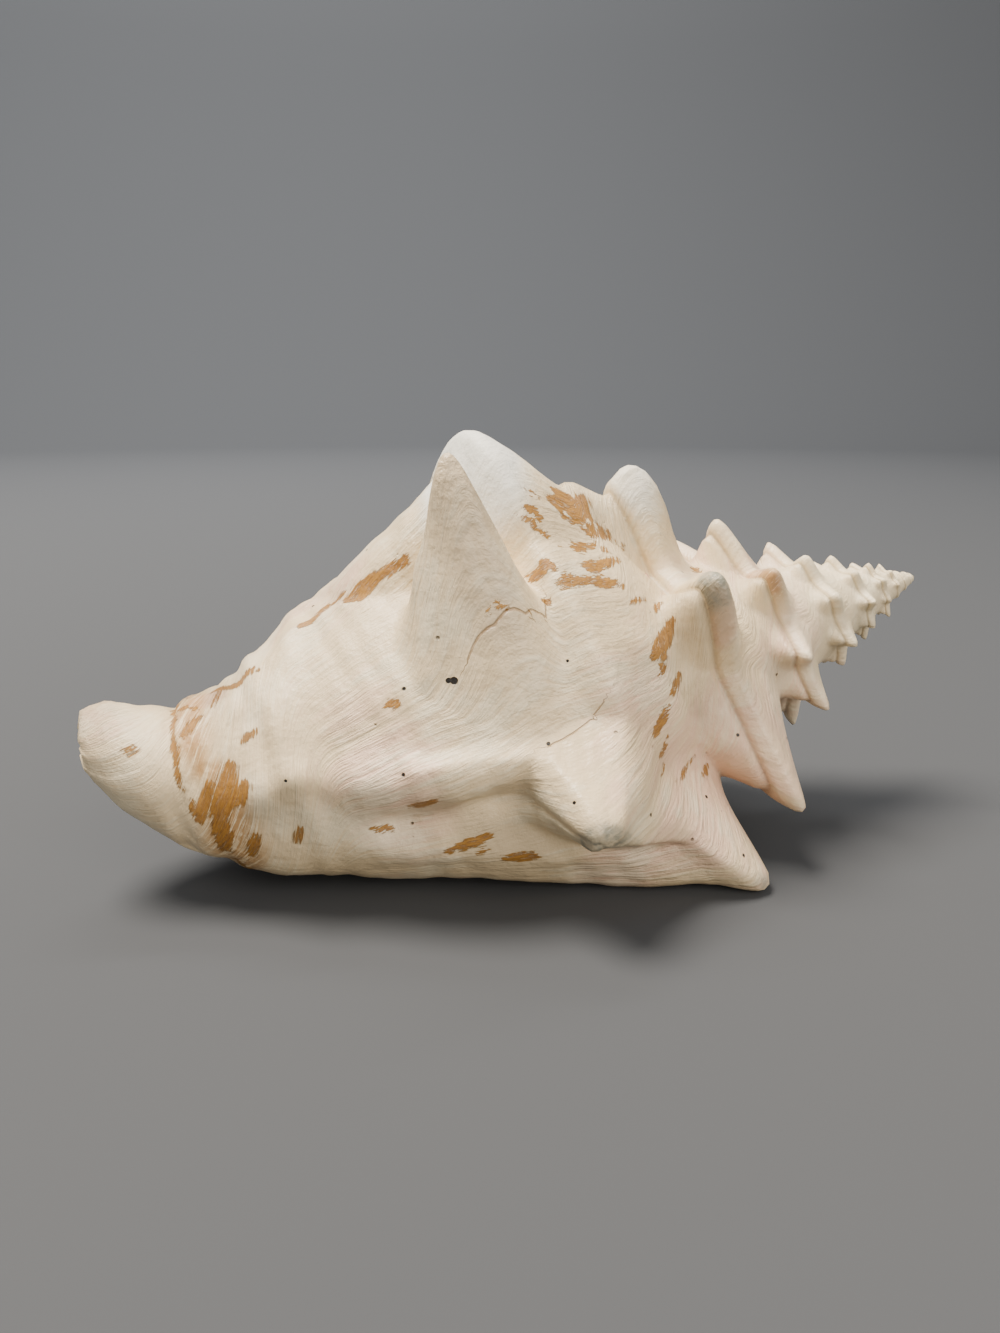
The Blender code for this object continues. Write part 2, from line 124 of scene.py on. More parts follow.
# The shoulder spines: growth angle and row of the root, then growth angle, radius and distance of the tip,
# then the reach of the flanks before, after, towards the apex and towards the canal, then bluntness and hollow.
SPINES = [
    (-2, 0.88, (-6, 75.0, 125.5), (24, 30, 40, 41), 1.20, 1.15),
    (4, 1.14, (3, 52.5, 138), (18, 22, 18, 20), 1.00, 1.20),
    (-44, 1.14, (-21, 81.5, 133.5), (24, 17, 17, 17), 0.20, 1.50),
    (-99, 1.02, (-97.5, 62.0, 129.0), (16, 18, 16, 20), 0.50, 1.30),
    (-140, 0.74, (-133.5, 66.0, 85.5), (16, 30, 28, 52), 0.12, 1.40),
    (-363, 0.80, (-366, 56.5, 85.0), (13, 14, 15, 20), 1.00, 1.15),
    (-362, 0.66, (-362, 34.6, 75.0), (8, 9, 6, 8), 1.00, 1.00),
    (-416, 0.80, (-411, 51.5, 80), (14, 12, 11, 15), 0.60, 1.20),
    (-476, 0.76, (-487, 53.5, 70), (24, 18, 16, 18), 0.15, 1.15),
    (-535, 0.80, (-535, 38, 72), (10, 9, 9, 12), 0.30, 1.35),
    (-582, 0.80, (-582, 40, 68), (10, 9, 9, 12), 0.25, 1.35),
    (-628, 0.80, (-628, 39, 64), (9, 8, 9, 12), 0.20, 1.35),
    (-675, 0.80, (-675, 37.5, 61), (9, 8, 9, 12), 0.20, 1.35),
    (-720, 0.80, (-722, 35.6, 59), (9, 9, 8, 12), 0.35, 1.20),
    (-764, 0.80, (-764, 33.0, 56), (8, 8, 8, 11), 0.25, 1.30),
    (-806, 0.80, (-808, 31.2, 55), (8, 8, 8, 11), 0.18, 1.35),
    (-843, 0.80, (-845, 31.0, 49), (8, 8, 8, 10), 0.15, 1.40),
    (-888, 0.80, (-896, 31.0, 47), (8, 8, 7, 9), 0.12, 1.40),
]
# The older spines follow one rule and shrink with the whorls.
OLD_SPINE_ANGLE = -931.0
OLD_SPINE_STEP = 42.0
OLD_SPINE_LAST = -2250.0
SPINE_REACH = 69.0

# Folds and grooves: places as growth angle and row, then height and half width.
FOLDS = [
    ([(-94, 1.06), (-89, 1.15), (-86, 1.28), (-82, 1.40), (-79, 1.49)], 4.2, 7.0),
    ([(-93, 1.22), (-96, 1.34), (-98, 1.46)], -2.8, 4.5),
    ([(-119, 1.14), (-115, 1.33), (-110, 1.50)], 2.0, 6.0),
    ([(-72, 1.62), (-78, 1.66)], 2.8, 5.5),
    ([(14, 1.45), (-10, 1.50), (-35, 1.57), (-68, 1.65)], 1.8, 5.0),
    ([(-62, 0.30), (-58, 0.55), (-70, 0.80)], 1.2, 7.0),
    ([(-97, 1.19), (-104, 1.12), (-107, 1.04)], -1.4, 2.4),
    ([(45, 1.84), (0, 1.835), (-50, 1.86), (-95, 1.885), (-140, 1.88)], -1.3, 2.0),
]

# The flared lip by row: how long its path is beyond the whorl, and how much it spreads towards the canal.
LIP_PATH = [
    (0.00, 0.0, -0.45), (0.10, 14.0, -0.50), (0.30, 39.0, -0.50), (0.60, 61.0, -0.45), (0.85, 72.0, -0.38),
    (1.10, 71.0, -0.12), (1.30, 60.0, 0.00), (1.45, 48.5, 0.08), (1.60, 34.0, 0.12), (1.72, 16.0, 0.15),
    (1.80, 0.0, 0.15),
]
LIP_TURN = 52.0

CALLUS_ANGLE = 185.0
CALLUS_DEPTH = 6.3
CHANNEL_SWEEP = 165.0
COLUMELLA = 9.0
SLOT_ANGLE = 116.0

# Ochre patches left from the outer skin: growth angle and row of both ends, then half width.
OCHRE = [
    ((-18, 0.55), (-14, 0.32), 2.2), ((-14, 0.48), (-10, 0.28), 2.2), ((-21, 0.52), (-18, 0.40), 1.4),
    ((-23, 0.76), (-23, 0.69), 0.9), ((-22, 0.89), (-26, 0.75), 0.35), ((-26, 0.75), (-29, 0.63), 0.35),
    ((-20, 0.73), (-19, 0.62), 0.3), ((-22, 0.42), (-16, 0.22), 1.2), ((-19, 0.16), (-17, 0.09), 0.4),
    ((-28, 0.58), (-24, 0.36), 1.3), ((-26, 0.40), (-26, 0.34), 0.8), ((-34, 0.82), (-37, 0.78), 1.5),
    ((-35, 0.93), (-36, 0.86), 1.2), ((-35, 0.58), (-32, 0.46), 1.5), ((-32, 0.46), (-29, 0.31), 1.0),
    ((-41, 0.81), (-38, 0.58), 1.8), ((-39, 0.60), (-38, 0.39), 1.3), ((-61, 1.18), (-59, 1.09), 0.3),
    ((-57, 1.06), (-52, 1.01), 0.1), ((-44, 0.93), (-43, 0.91), 0.6), ((-44, 0.40), (-43, 0.28), 0.8),
    ((-48, 0.28), (-45, 0.18), 0.7),
    ((-55, 0.22), (-64, 0.42), 2.3), ((-64, 0.34), (-71, 0.43), 0.8), ((-73, 0.30), (-80, 0.41), 1.4),
    ((-83, 0.46), (-89, 0.65), 1.6), ((-90, 0.65), (-91, 0.71), 0.7), ((-93, 0.56), (-97, 0.67), 0.6),
    ((-111, 0.40), (-107, 0.66), 0.5), ((-120, 0.35), (-116, 0.48), 0.8), ((-101, 0.65), (-101, 0.73), 0.5),
    ((-12, 1.34), (-15, 1.27), 2.5), ((-15, 1.28), (-17, 1.19), 0.9), ((-9, 1.46), (-6, 1.39), 1.8),
    ((-6, 1.40), (-8, 1.34), 0.9),
    ((-2, 1.72), (-12, 1.60), 1.5), ((-6, 1.66), (-16, 1.59), 0.7), ((-20, 1.73), (-6, 1.70), 0.7),
    ((12, 1.82), (-30, 1.84), 0.9), ((-30, 1.84), (-56, 1.85), 1.2), ((-56, 1.85), (-74, 1.86), 0.9),
    ((-36, 1.82), (-24, 1.76), 1.1), ((-5, 1.83), (-16, 1.77), 0.8), ((-80, 1.84), (-91, 1.85), 0.8),
    ((-68, 1.79), (-94, 1.84), 1.6), ((-58, 1.73), (-94, 1.80), 2.4), ((-69, 1.71), (-80, 1.76), 2.1),
    ((-90, 1.79), (-117, 1.81), 2.1), ((-97, 1.73), (-116, 1.76), 1.3), ((-47, 1.68), (-45, 1.65), 1.1),
    ((-102, 1.65), (-94, 1.63), 1.1), ((-130, 1.80), (-152, 1.76), 1.6), ((-62, 1.95), (-50, 1.93), 0.7),
    ((-56, 1.39), (-56, 1.37), 1.1), ((-90, 1.43), (-88, 1.39), 1.0), ((-98, 1.51), (-100, 1.48), 0.8),
    ((-111, 1.40), (-107, 1.32), 1.2), ((-113, 1.35), (-112, 1.33), 0.8), ((-117, 1.31), (-116, 1.26), 1.5),
    ((-160, 1.30), (-168, 1.18), 1.8), ((-188, 1.50), (-200, 1.42), 1.9), ((22, 1.34), (26, 1.14), 1.3),
    ((18, 1.42), (22, 1.32), 0.8), ((36, 1.60), (42, 1.40), 1.5), ((30, 0.54), (34, 0.24), 2.8),
    ((38, 0.46), (40, 0.30), 1.0), ((52, 0.76), (60, 0.48), 1.2), ((24, 0.72), (27, 0.62), 0.7),
    ((60, 1.10), (64, 0.92), 0.9), ((14, 0.62), (18, 0.50), 1.4), ((-378, 0.48), (-370, 0.36), 1.0),
]
# Broad thin washes of the same skin, in the same form.
WASH = [
    ((16, 1.78), (-60, 1.80), 7.0),
    ((-60, 1.76), (-150, 1.80), 8.0),
    ((-752, 0.92), (-772, 0.90), 4.5),
    ((40, 1.70), (60, 1.50), 7.0),
    ((-200, 1.60), (-240, 1.74), 7.0),
]
# The groove where each whorl meets the one before.
SEAM_DEPTH = 1.2
SEAM_WIDTH = 2.2
# Depth of the jagged wear on the tips, and the tips: growth angle and row, then radius and strength.
TIP_DEPTH = 0.8
WORN_TIPS = [
    (-44, 1.14, 5.0, 1.0),
    (-99, 1.02, 5.0, 0.6),
    (-140, 0.74, 4.0, 0.5),
    (-363, 0.80, 3.0, 0.5),
    (-416, 0.80, 5.0, 0.8),
    (-476, 0.76, 3.0, 0.6),
]

# Worn chalky tips of spines, as growth angle and row, then radius and strength.
CHALK = [
    (-6, 0.92, 19.0, 1.0),
    (-21, 1.10, 5.0, 0.8),
    (-366, 0.80, 8.0, 0.6),
]
# Pink and tan faces of the older whorls, as growth angle and row, then radius and strength.
BLUSH = [
    (-752, 0.94, 3.5, 0.9),
    (-768, 0.92, 3.0, 0.7),
    (-738, 0.70, 4.0, 0.6),
    (-425, 0.92, 7.0, 0.7),
    (-8, 1.74, 7.0, 0.8),
]
# Darker tan faces, partly the shell's own tan and partly painted shade on faces turned from the light and in the valley
# under the fold, as growth angle and row, then radius and strength.
TAN_AND_PAINTED_SHADE = [
    (-48, 1.14, 8.0, 0.9),
    (-56, 1.14, 8.0, 0.8),
    (-93, 1.38, 6.0, 0.8),
    (-92, 1.24, 6.0, 0.6),
    (-88, 1.50, 6.0, 0.4),
    (-110, 1.30, 10.0, 0.5),
    (-420, 0.90, 7.0, 0.7),
]
# Black spots and pits, as growth angle and row, then radius.
PITS = [
    (-61, 1.26, 1.0),
    (-60, 1.27, 0.7),
    (-90, 1.09, 0.45),
    (-80, 1.12, 0.5),
    (-387, 0.71, 0.5),
    (-98, 0.06, 0.5),
    (-70, 1.62, 0.4),
    (-60, 0.98, 0.4),
]
# Grey-green stains, as growth angle and row, then radius and strength.
STAINS = [
    (-101, 1.04, 8.0, 1.0),
    (-112, 1.08, 6.0, 0.9),
    (-30, 1.04, 4.0, 0.5),
    (-411, 0.80, 4.5, 0.7),
    (-417, 0.88, 6.0, 1.0),
    (-485, 0.78, 3.0, 0.6),
    (-135, 0.76, 3.4, 0.6),
    (-720, 0.82, 2.0, 0.4),
]
# Hairline cracks, as growth angle and row.
CRACKS = [
    [(-61, 1.22), (-61, 1.15), (-58, 1.07), (-51, 1.00), (-43, 0.93)],
    [(-80, 1.12), (-77, 1.01), (-73, 0.91)],
]
# Sharp edges and creases of the fine surface: places as growth angle and row, then height and half width.
EDGES = [
    ([(-24, 1.16), (-44, 1.26), (-54, 1.30)], 0.9, 3.2),
    ([(-95, 1.00), (-84, 1.12), (-80, 1.26), (-78, 1.40)], 1.2, 4.5),
    ([(-99, 1.04), (-96, 1.20), (-94, 1.34)], -0.8, 3.0),
    ([(-99, 0.98), (-90, 0.90), (-80, 0.86)], 0.8, 4.0),
    ([(-102, 1.06), (-112, 1.14), (-120, 1.22)], 0.7, 3.0),
    ([(-134, 0.76), (-118, 0.86), (-108, 0.96)], 0.9, 5.0),
    ([(20, 1.83), (-20, 1.835), (-70, 1.86), (-120, 1.87)], -0.5, 1.0),
    ([(-6, 0.90), (-16, 1.02), (-20, 1.12)], -0.7, 2.6),
    ([(-12, 1.36), (-8, 1.46), (-14, 1.56)], 0.7, 5.0),
]


def smooth(x):
    """Ease from 0 to 1."""
    x = np.clip(x, 0.0, 1.0)
    return x * x * (3.0 - 2.0 * x)


def curve(table, column, t):
    """A smooth curve through one column of a table."""
    x = np.array([row[0] for row in table], float)
    y = np.array([row[column] for row in table], float)
    slope = np.gradient(y, x)
    t = np.asarray(t, float)
    k = np.clip(np.searchsorted(x, t) - 1, 0, len(x) - 2)
    width = x[k + 1] - x[k]
    a = np.clip((t - x[k]) / width, 0.0, 1.0)
    start = (2 * a**3 - 3 * a**2 + 1) * y[k] + (a**3 - 2 * a**2 + a) * width * slope[k]
    end = (3 * a**2 - 2 * a**3) * y[k + 1] + (a**3 - a**2) * width * slope[k + 1]
    return start + end


def size(angle):
    """Size of the whorl at a growth angle, with 1 on top of the last whorl."""
    return WHORL_RATIO ** (-np.asarray(angle, float) / 360.0)


def spiral(angle, row):
    """Radius and distance from the apex of the plain spiral."""
    angle, row = np.broadcast_arrays(np.asarray(angle, float), np.asarray(row, float))
    s = size(angle)
    keep = smooth((row - 1.0) / (CORNER_ROW - 1.0))
    scale = s * (1.0 - keep) + keep
    r = np.where(row <= 1.0, s * SHOULDER_R * curve(RAMP, 1, row), scale * curve(BODY, 1, row))
    u = np.where(row <= 1.0, s * SHOULDER_U * curve(RAMP, 2, row), scale * curve(BODY, 2, row))
    return r, u


PROFILE_ROWS = np.linspace(0.0, 2.0, 401)
PROFILE_R, PROFILE_U = spiral(0.0, PROFILE_ROWS)
PROFILE_PATH = np.concatenate([[0.0], np.cumsum(np.hypot(np.diff(PROFILE_R), np.diff(PROFILE_U)))])


def path(row):
    """Length along the full-size profile, from the shoulder towards the canal."""
    return np.interp(row, PROFILE_ROWS, PROFILE_PATH) - np.interp(SHOULDER_ROW, PROFILE_ROWS, PROFILE_PATH)


def grown(angle):
    """Length along the shoulder's spiral from the apex, in millimetres."""
    return SHOULDER_R * size(angle) * 2.0 * math.pi / -math.log(WHORL_RATIO)


def point(angle, r, u):
    """A point in the shell's axes: up, far and along the axis from the apex."""
    turn = np.radians(angle)
    return np.stack(np.broadcast_arrays(r * np.cos(turn), r * np.sin(turn), u), -1).astype(float)


def swell(angle, row):
    """How far the last ramp climbs up the spire near the lip."""
    climb = smooth((np.asarray(angle, float) + 75.0) / 70.0)
    return 12.5 * climb * smooth(np.asarray(row) / 0.35) * (1.0 - smooth((np.asarray(row) - 0.55) / 0.6))


def callus(angle, row):
    """How far the underside of the body is flattened beside the opening."""
    turn = np.exp(-((np.asarray(angle, float) + CALLUS_ANGLE) / 34.0) ** 2)
    return CALLUS_DEPTH * turn * smooth((np.asarray(row) - 0.55) / 0.6) * (1.0 - smooth((np.asarray(row) - 1.66) / 0.3))


def keel(angle, row):
    """The low spiral ridge above the canal."""
    away = path(row) - path(1.60)
    return 1.6 * np.exp(-(away / 3.2) ** 2) * smooth((np.asarray(angle) + 130.0) / 60.0)


def all_spines():
    """The listed spines and those that follow the rule."""
    found = list(SPINES)
    angle = OLD_SPINE_ANGLE
    count = 0
    while angle > OLD_SPINE_LAST:
        s = float(size(angle))
        tip = (angle - 2.0, s * SPINE_REACH * (1.0 + 0.06 * math.sin(count * 2.4)), s * 125.0)
        found.append((angle, 0.80, tip, (s * 18.0, s * 17.0, s * 17.0, s * 24.0), 0.25, 1.30))
        angle -= OLD_SPINE_STEP
        count += 1
    return found


def flank(d, blunt, hollow):
    """Height of a spine at a share of its reach."""
    d = np.clip(d, 0.0, 1.0)
    e = (np.sqrt(d * d + blunt * blunt) - blunt) / (math.sqrt(1.0 + blunt * blunt) - blunt)
    return (1.0 - e) ** hollow


def spine_push(angle, row):
    """How far the spines push each point outwards, as vectors."""
    total = np.zeros(angle.shape + (3,))
    s = size(angle)
    here = path(row)
    for root, root_row, tip, reach, blunt, hollow in all_spines():
        root_r, root_u = spiral(root, root_row)
        push = point(*tip) - point(root, root_r + swell(root, root_row), root_u)
        push[0] -= curve(RISE, 1, tip[2])
        start = path(root_row) * size(root)
        for turn in (0, 1):
            away = angle - root - 360.0 * turn
            arc = np.radians(away) * root_r
            if turn == 0:
                down = here * s - start
            else:
                down = path(1.0) * size(root) - start + (here - path(0.0)) * s
            wide = np.where(arc < 0.0, reach[0], reach[1])
            tall = np.where(down < 0.0, reach[2], reach[3])
            d = np.hypot(arc / wide, down / tall)
            height = np.where((np.abs(away) < 100.0) & (d < 1.0), flank(d, blunt, hollow), 0.0)
            total += height[..., None] * push
    return total


def across_and_down(angle, row, place):
    """Distances in millimetres along the surface from a place: round the whorl and towards the canal."""
    s = size(place[0])
    arc = np.radians(angle - place[0]) * SHOULDER_R * s * (1.0 - 0.5 * smooth((row - 1.2) / 0.8))
    down = (path(row) - path(place[1])) * np.where(row <= 1.0, s, 1.0)
    return arc, down


def beside(angle, row, first, last):
    """Distance from a line between two places, and the share of the way along it."""
    arc, down = across_and_down(angle, row, first)
    end_arc, end_down = across_and_down(np.array(last[0]), np.array(last[1]), first)
    length = max(1e-6, float(end_arc ** 2 + end_down ** 2))
    share = (arc * end_arc + down * end_down) / length
    held = np.clip(share, 0.0, 1.0)
    side = (arc * end_down - down * end_arc) / math.sqrt(length)
    return np.hypot(arc - held * end_arc, down - held * end_down), share, side


def folds(angle, row):
    """The folds that run from the spines down towards the canal."""
    total = np.zeros(angle.shape)
    for line, height, width in FOLDS:
        away = np.min([beside(angle, row, a, b)[0] for a, b in zip(line[:-1], line[1:])], axis=0)
        total += height * np.exp(-(away / width) ** 2)
    return total


def slot(angle, row):
    """Share of the way into the open slot under the canal."""
    turn = (np.asarray(angle, float) - SLOT_ANGLE + 180.0) % 360.0 - 180.0
    return np.exp(-(turn / 23.0) ** 2) * smooth((row - 1.66) / 0.18)


def hollow_side(angle, row):
    """Share of the way from the body's surface to the columella beside and inside the opening."""
    across = smooth((row - 1.02) / 0.22) * (1.0 - smooth((row - 1.62) / 0.17))
    return across * smooth((-205.0 - np.asarray(angle, float)) / 110.0)


def lip_shift(share, row):
    """The way from the whorl's last growth line to a share of the lip's path."""
    length = curve(LIP_PATH, 1, row)
    spread = curve(LIP_PATH, 2, row)
    steps = np.linspace(0.0, 1.0, 41)
    turn = np.radians(LIP_TURN * steps ** 1.3)
    ahead = np.concatenate([[0.0], np.cumsum((np.cos(turn[1:]) + np.cos(turn[:-1])) / 80.0)])
    outward = np.concatenate([[0.0], np.cumsum((np.sin(turn[1:]) + np.sin(turn[:-1])) / 80.0)])
    a = np.interp(share, steps, ahead) * length
    b = np.interp(share, steps, outward) * length
    c, d = math.cos(math.radians(LIP_ANGLE)), math.sin(math.radians(LIP_ANGLE))
    return np.stack([b * c - a * d, b * d + a * c, length * spread * np.maximum(share, 0.0) ** 1.2], -1)


def bend(p):
    """Lift the body a little off the axis, curve the canal up and draw out the spire."""
    along = p[..., 2].copy()
    p[..., 2] -= SPIRE_STRETCH * smooth((60.0 - along) / 60.0)
    p[..., 2] -= CANAL_SLANT * p[..., 0] * smooth((along - 205.0) / 30.0)
    p[..., 0] += curve(RISE, 1, along)
    return p


def surface(angle, row, share=0.0, plain=False):
    """A point of the outside. With plain, without the spines and ridges that the inside doesn't follow."""
    angle, row, share = np.broadcast_arrays(np.asarray(angle, float), np.asarray(row, float), np.asarray(share, float))
    r, u = spiral(angle, row)
    r = r + swell(angle, row)
    if not plain:
        r = r + keel(angle, row) + folds(angle, row) - callus(angle, row)
        inward = hollow_side(angle, row)
        r = r * (1.0 - inward) + COLUMELLA * inward
        r = r * (1.0 - 0.55 * slot(angle, row))
    p = point(angle, r, u)
    if not plain:
        p = p + spine_push(angle, row)
    p = p + np.where(share[..., None] > 0.0, lip_shift(share, row), 0.0)
    return bend(p)


def thickness(row):
    """Share of the full wall at a row. It thins out where the wall meets the columella."""
    return smooth(row / 0.18) * smooth((CORNER_ROW - row) / 0.18)


def columella_side(angle, row):
    """Radius and distance of the surface that the last whorl is wound on, beside and inside the opening."""
    r, u = spiral(angle, row)
    inward = hollow_side(angle, row)
    return r * (1.0 - inward) + COLUMELLA * inward, u


def wall_inside(angle, row):
    """A point of the inner face of the last whorl's wall, never past the middle of the way through."""
    r, u = spiral(angle, row)
    r = r + swell(angle, row)
    side_rows = np.linspace(1.0, CORNER_ROW, 61)
    side_r, side_u = columella_side(angle[:, :1] - 360.0, side_rows[None, :])
    across = np.stack([np.interp(line, us, rs) for line, us, rs in zip(u, side_u, side_r)])
    first = side_u[:, :1] + WALL
    last = side_u[:, -1:] - WALL
    way_r, way_u = 0.5 * (across + r) - r, np.clip(u, first, last) - u
    slope_r, slope_u = np.gradient(r, axis=1), np.gradient(u, axis=1)
    length = np.maximum(np.hypot(slope_r, slope_u), 1e-9)
    normal_r, normal_u = -slope_u / length, slope_r / length
    way = np.maximum(np.hypot(way_r, way_u), 1e-9)
    blend_r, blend_u = normal_r + 0.6 * way_r / way, normal_u + 0.6 * way_u / way
    blend = np.maximum(np.hypot(blend_r, blend_u), 1e-9)
    step = np.minimum(WALL * thickness(row), 0.55 * np.abs(r - across))
    return bend(point(angle, r + step * blend_r / blend, u + step * blend_u / blend))


def lip_inside(row, share):
    """A point of the inner face of the lip."""
    step = 0.02
    here = surface(LIP_ANGLE, row, share, plain=True)
    forward = surface(LIP_ANGLE, row, share + step, plain=True) - surface(LIP_ANGLE, row, share - step, plain=True)
    across = surface(LIP_ANGLE, row + 0.01, share, plain=True) - surface(LIP_ANGLE, row - 0.01, share, plain=True)
    normal = np.cross(forward, across)
    normal /= np.maximum(np.linalg.norm(normal, axis=-1, keepdims=True), 1e-9)
    thick = (WALL + (RIM - WALL) * share) * thickness(row)
    return here - normal * thick[..., None]


def wander(x, seed):
    """An uneven wave between about -1 and 1, the same each time for one seed."""
    total = np.zeros(np.shape(x))
    for n in range(5):
        pace = 0.62 * 1.47 ** n + 0.11 * math.sin(seed * 3.1 + n * 1.7)
        total = total + math.cos(n * 0.9 + seed) * np.sin(x * pace + seed * 2.3 + n * 4.1)
    return total / 2.2


class Mesh:
    """Vertices, each with its place in the growth of the shell, and faces as they are added."""

    def __init__(self):
        self.points = []
        self.places = []
        self.faces = []
        self.corners = []

    def add(self, points, angle, row, share=0.0, inside=0.0):
        """Add points and give back their numbers in the same layout."""
        points = np.asarray(points, float)
        first = len(self.points)
        shape = points.shape[:-1]
        known = [np.broadcast_to(np.asarray(value, float), shape).ravel() for value in (angle, row, share, inside)]
        self.points.extend(points.reshape(-1, 3).tolist())
        self.places.extend(np.stack(known, -1).tolist())
        return np.arange(first, len(self.points)).reshape(shape)

    def face(self, corners, edge=None):
        """One face. Edge gives growth angle and row of corners that also belong to the next whorl."""
        kept = [n for n, c in enumerate(corners) if c != corners[n - 1]]
        if len(kept) > 2:
            self.faces.append([int(corners[n]) for n in kept])
            for n in kept:
                place = edge[n] if edge and edge[n] else self.places[corners[n]][:2]
                self.corners.append(place)

    def quads(self, grid):
        """Faces between the neighbours of a grid of vertex numbers."""
        for line, following in zip(grid[:-1].tolist(), grid[1:].tolist()):
            for k in range(len(line) - 1):
                self.face([line[k], following[k], following[k + 1], line[k + 1]])

    def fan(self, loop, centre):
        """Close a loop of vertices around one point."""
        for a, b in zip(loop, np.roll(loop, -1)):
            self.face([int(a), int(b), int(centre)])


def column_angles():
    """Growth angles of the columns, from the apex to the lip, closer together on the younger whorls."""
    angles = [np.array([LIP_ANGLE])]
    end = LIP_ANGLE
    for count in WHORL_COLUMNS:
        turn = end - 360.0 + np.arange(count) * 360.0 / count
        angles.insert(0, turn[turn > FIRST_ANGLE])
        end -= 360.0
    return np.concatenate(angles)


def shell_mesh():
    """The whole shell as one closed surface: spire, body, canal, lip and the way in."""
    mesh = Mesh()
    angles = column_angles()
    total = len(angles) - 1
    start = total - WHORL_COLUMNS[0]
    even = np.arange(RAMP_ROWS) / RAMP_ROWS
    ramp_rows = even - 0.6 * np.sin(2.0 * math.pi * even) / (2.0 * math.pi)
    body_rows = np.concatenate([
        np.linspace(1.0, CORNER_ROW, BODY_ROWS + 1),
        np.linspace(CORNER_ROW, 2.0, CANAL_ROWS + 1)[1:],
    ])

    # The ramp winds from the apex to the lip, and each whorl's last row is the next whorl's first.
    ramp = mesh.add(surface(angles[:, None], ramp_rows[None, :]), angles[:, None], ramp_rows[None, :])
    body = mesh.add(surface(angles[start:, None], body_rows[None, :]), angles[start:, None], body_rows[None, :])
    body[-1, BODY_ROWS:] = body[0, BODY_ROWS:]
    ramp[-1, 0] = body[0, 0]
    mesh.quads(ramp)
    following = np.searchsorted(angles, angles + 360.0 - 1e-6)
    for k in range(total):
        above = [ramp[k, -1], ramp[k + 1, -1]]
        if k < start:
            below = ramp[following[k]:following[k + 1] + 1, 0][::-1]
            below_angles = angles[following[k]:following[k + 1] + 1][::-1] - 360.0
        else:
            below = body[k - start:k - start + 2, 0][::-1]
            below_angles = angles[k:k + 2][::-1]
        edge = [None, None] + [(a, 1.0) for a in below_angles]
        mesh.face(above + list(below), edge)
    mesh.quads(body)

    # The tip of the canal.
    ring = body[:-1, -1]
    tip = surface(0.0, 2.0) * 0.5 + surface(180.0, 2.0) * 0.5
    middle = np.array([mesh.points[k] for k in ring])
    inner = mesh.add(tip + (middle - tip) * 0.5 + np.array([0.0, 0.0, 0.8]), angles[start:-1], 2.0)
    mesh.quads(np.stack([np.append(ring, ring[0]), np.append(inner, inner[0])], 1))
    mesh.fan(inner, mesh.add(tip + np.array([0.0, 0.0, -1.5]), 0.0, 2.0))

    # The apex.
    apex = mesh.add(np.array([0.0, 0.0, surface(angles[0], 0.0)[2] - 1.2]), angles[0], 0.0)
    loop = np.concatenate([ramp[:following[0], 0], [ramp[following[0], 0]], ramp[0, ::-1][:-1]])
    mesh.fan(loop[::-1], apex)

    # The outside of the lip.
    rows = np.concatenate([ramp_rows, body_rows[:BODY_ROWS + 1]])
    shares = np.linspace(0.0, 1.0, LIP_COLUMNS + 1)[1:]
    first = np.concatenate([ramp[-1], body[-1, :BODY_ROWS + 1]])
    lip = mesh.add(surface(LIP_ANGLE, rows[None, :], shares[:, None]), LIP_ANGLE, rows[None, :], shares[:, None])
    lip[:, 0] = body[0, 0]
    lip[:, -1] = body[0, BODY_ROWS]
    mesh.quads(np.concatenate([first[None, :], lip], 0))

    # The inner face of the lip and of the wall, and the columella side across from it.
    depth = np.arange(CHANNEL_COLUMNS + 1) * (CHANNEL_SWEEP / CHANNEL_COLUMNS)
    narrow = 0.70 * smooth((depth - 0.55 * CHANNEL_SWEEP) / (0.5 * CHANNEL_SWEEP))[:, None, None]
    side_r, side_u = columella_side(LIP_ANGLE - 360.0 - depth[1:, None], body_rows[None, 1:BODY_ROWS])
    side_points = bend(point(LIP_ANGLE - depth[1:, None], side_r, side_u))
    wall_points = wall_inside(*np.broadcast_arrays(LIP_ANGLE - depth[:, None], rows[None, :]))
    centre = 0.5 * (side_points.mean(1) + wall_points[1:].mean(1))[:, None]
    side_points += (centre - side_points) * narrow[1:]
    wall_points[1:] += (centre - wall_points[1:]) * narrow[1:]
    edge_points = lip_inside(rows[None, :] + 0.0 * shares[:, None], shares[:, None] + 0.0 * rows[None, :])
    root_points = lip_inside(rows, 0.03 + 0.0 * rows)
    for n, (near, far) in enumerate(((2, 0), (-3, -1))):
        wall_points[1:, 1 if n == 0 else -2] = 0.5 * (wall_points[1:, near] + side_points[:, far])
    edge_points += (wall_points[0] - root_points) * (1.0 - smooth(shares / 0.35))[:, None, None]
    side = mesh.add(side_points, LIP_ANGLE - depth[1:, None], body_rows[None, 1:BODY_ROWS], 0.0, 1.0)
    side = np.concatenate([body[:1, 1:BODY_ROWS], side], 0)
    wall = mesh.add(wall_points, LIP_ANGLE - depth[:, None], rows[None, :], 0.0, 1.0)
    edge = mesh.add(edge_points, LIP_ANGLE, rows[None, :], shares[:, None], 1.0)
    wall[:, 0] = side[:, 0]
    wall[:, -1] = side[:, -1]
    edge[:, 0] = body[0, 1]
    edge[:, -1] = body[0, BODY_ROWS - 1]
    mesh.quads(side[::-1])
    mesh.quads(np.concatenate([edge[::-1], wall], 0))

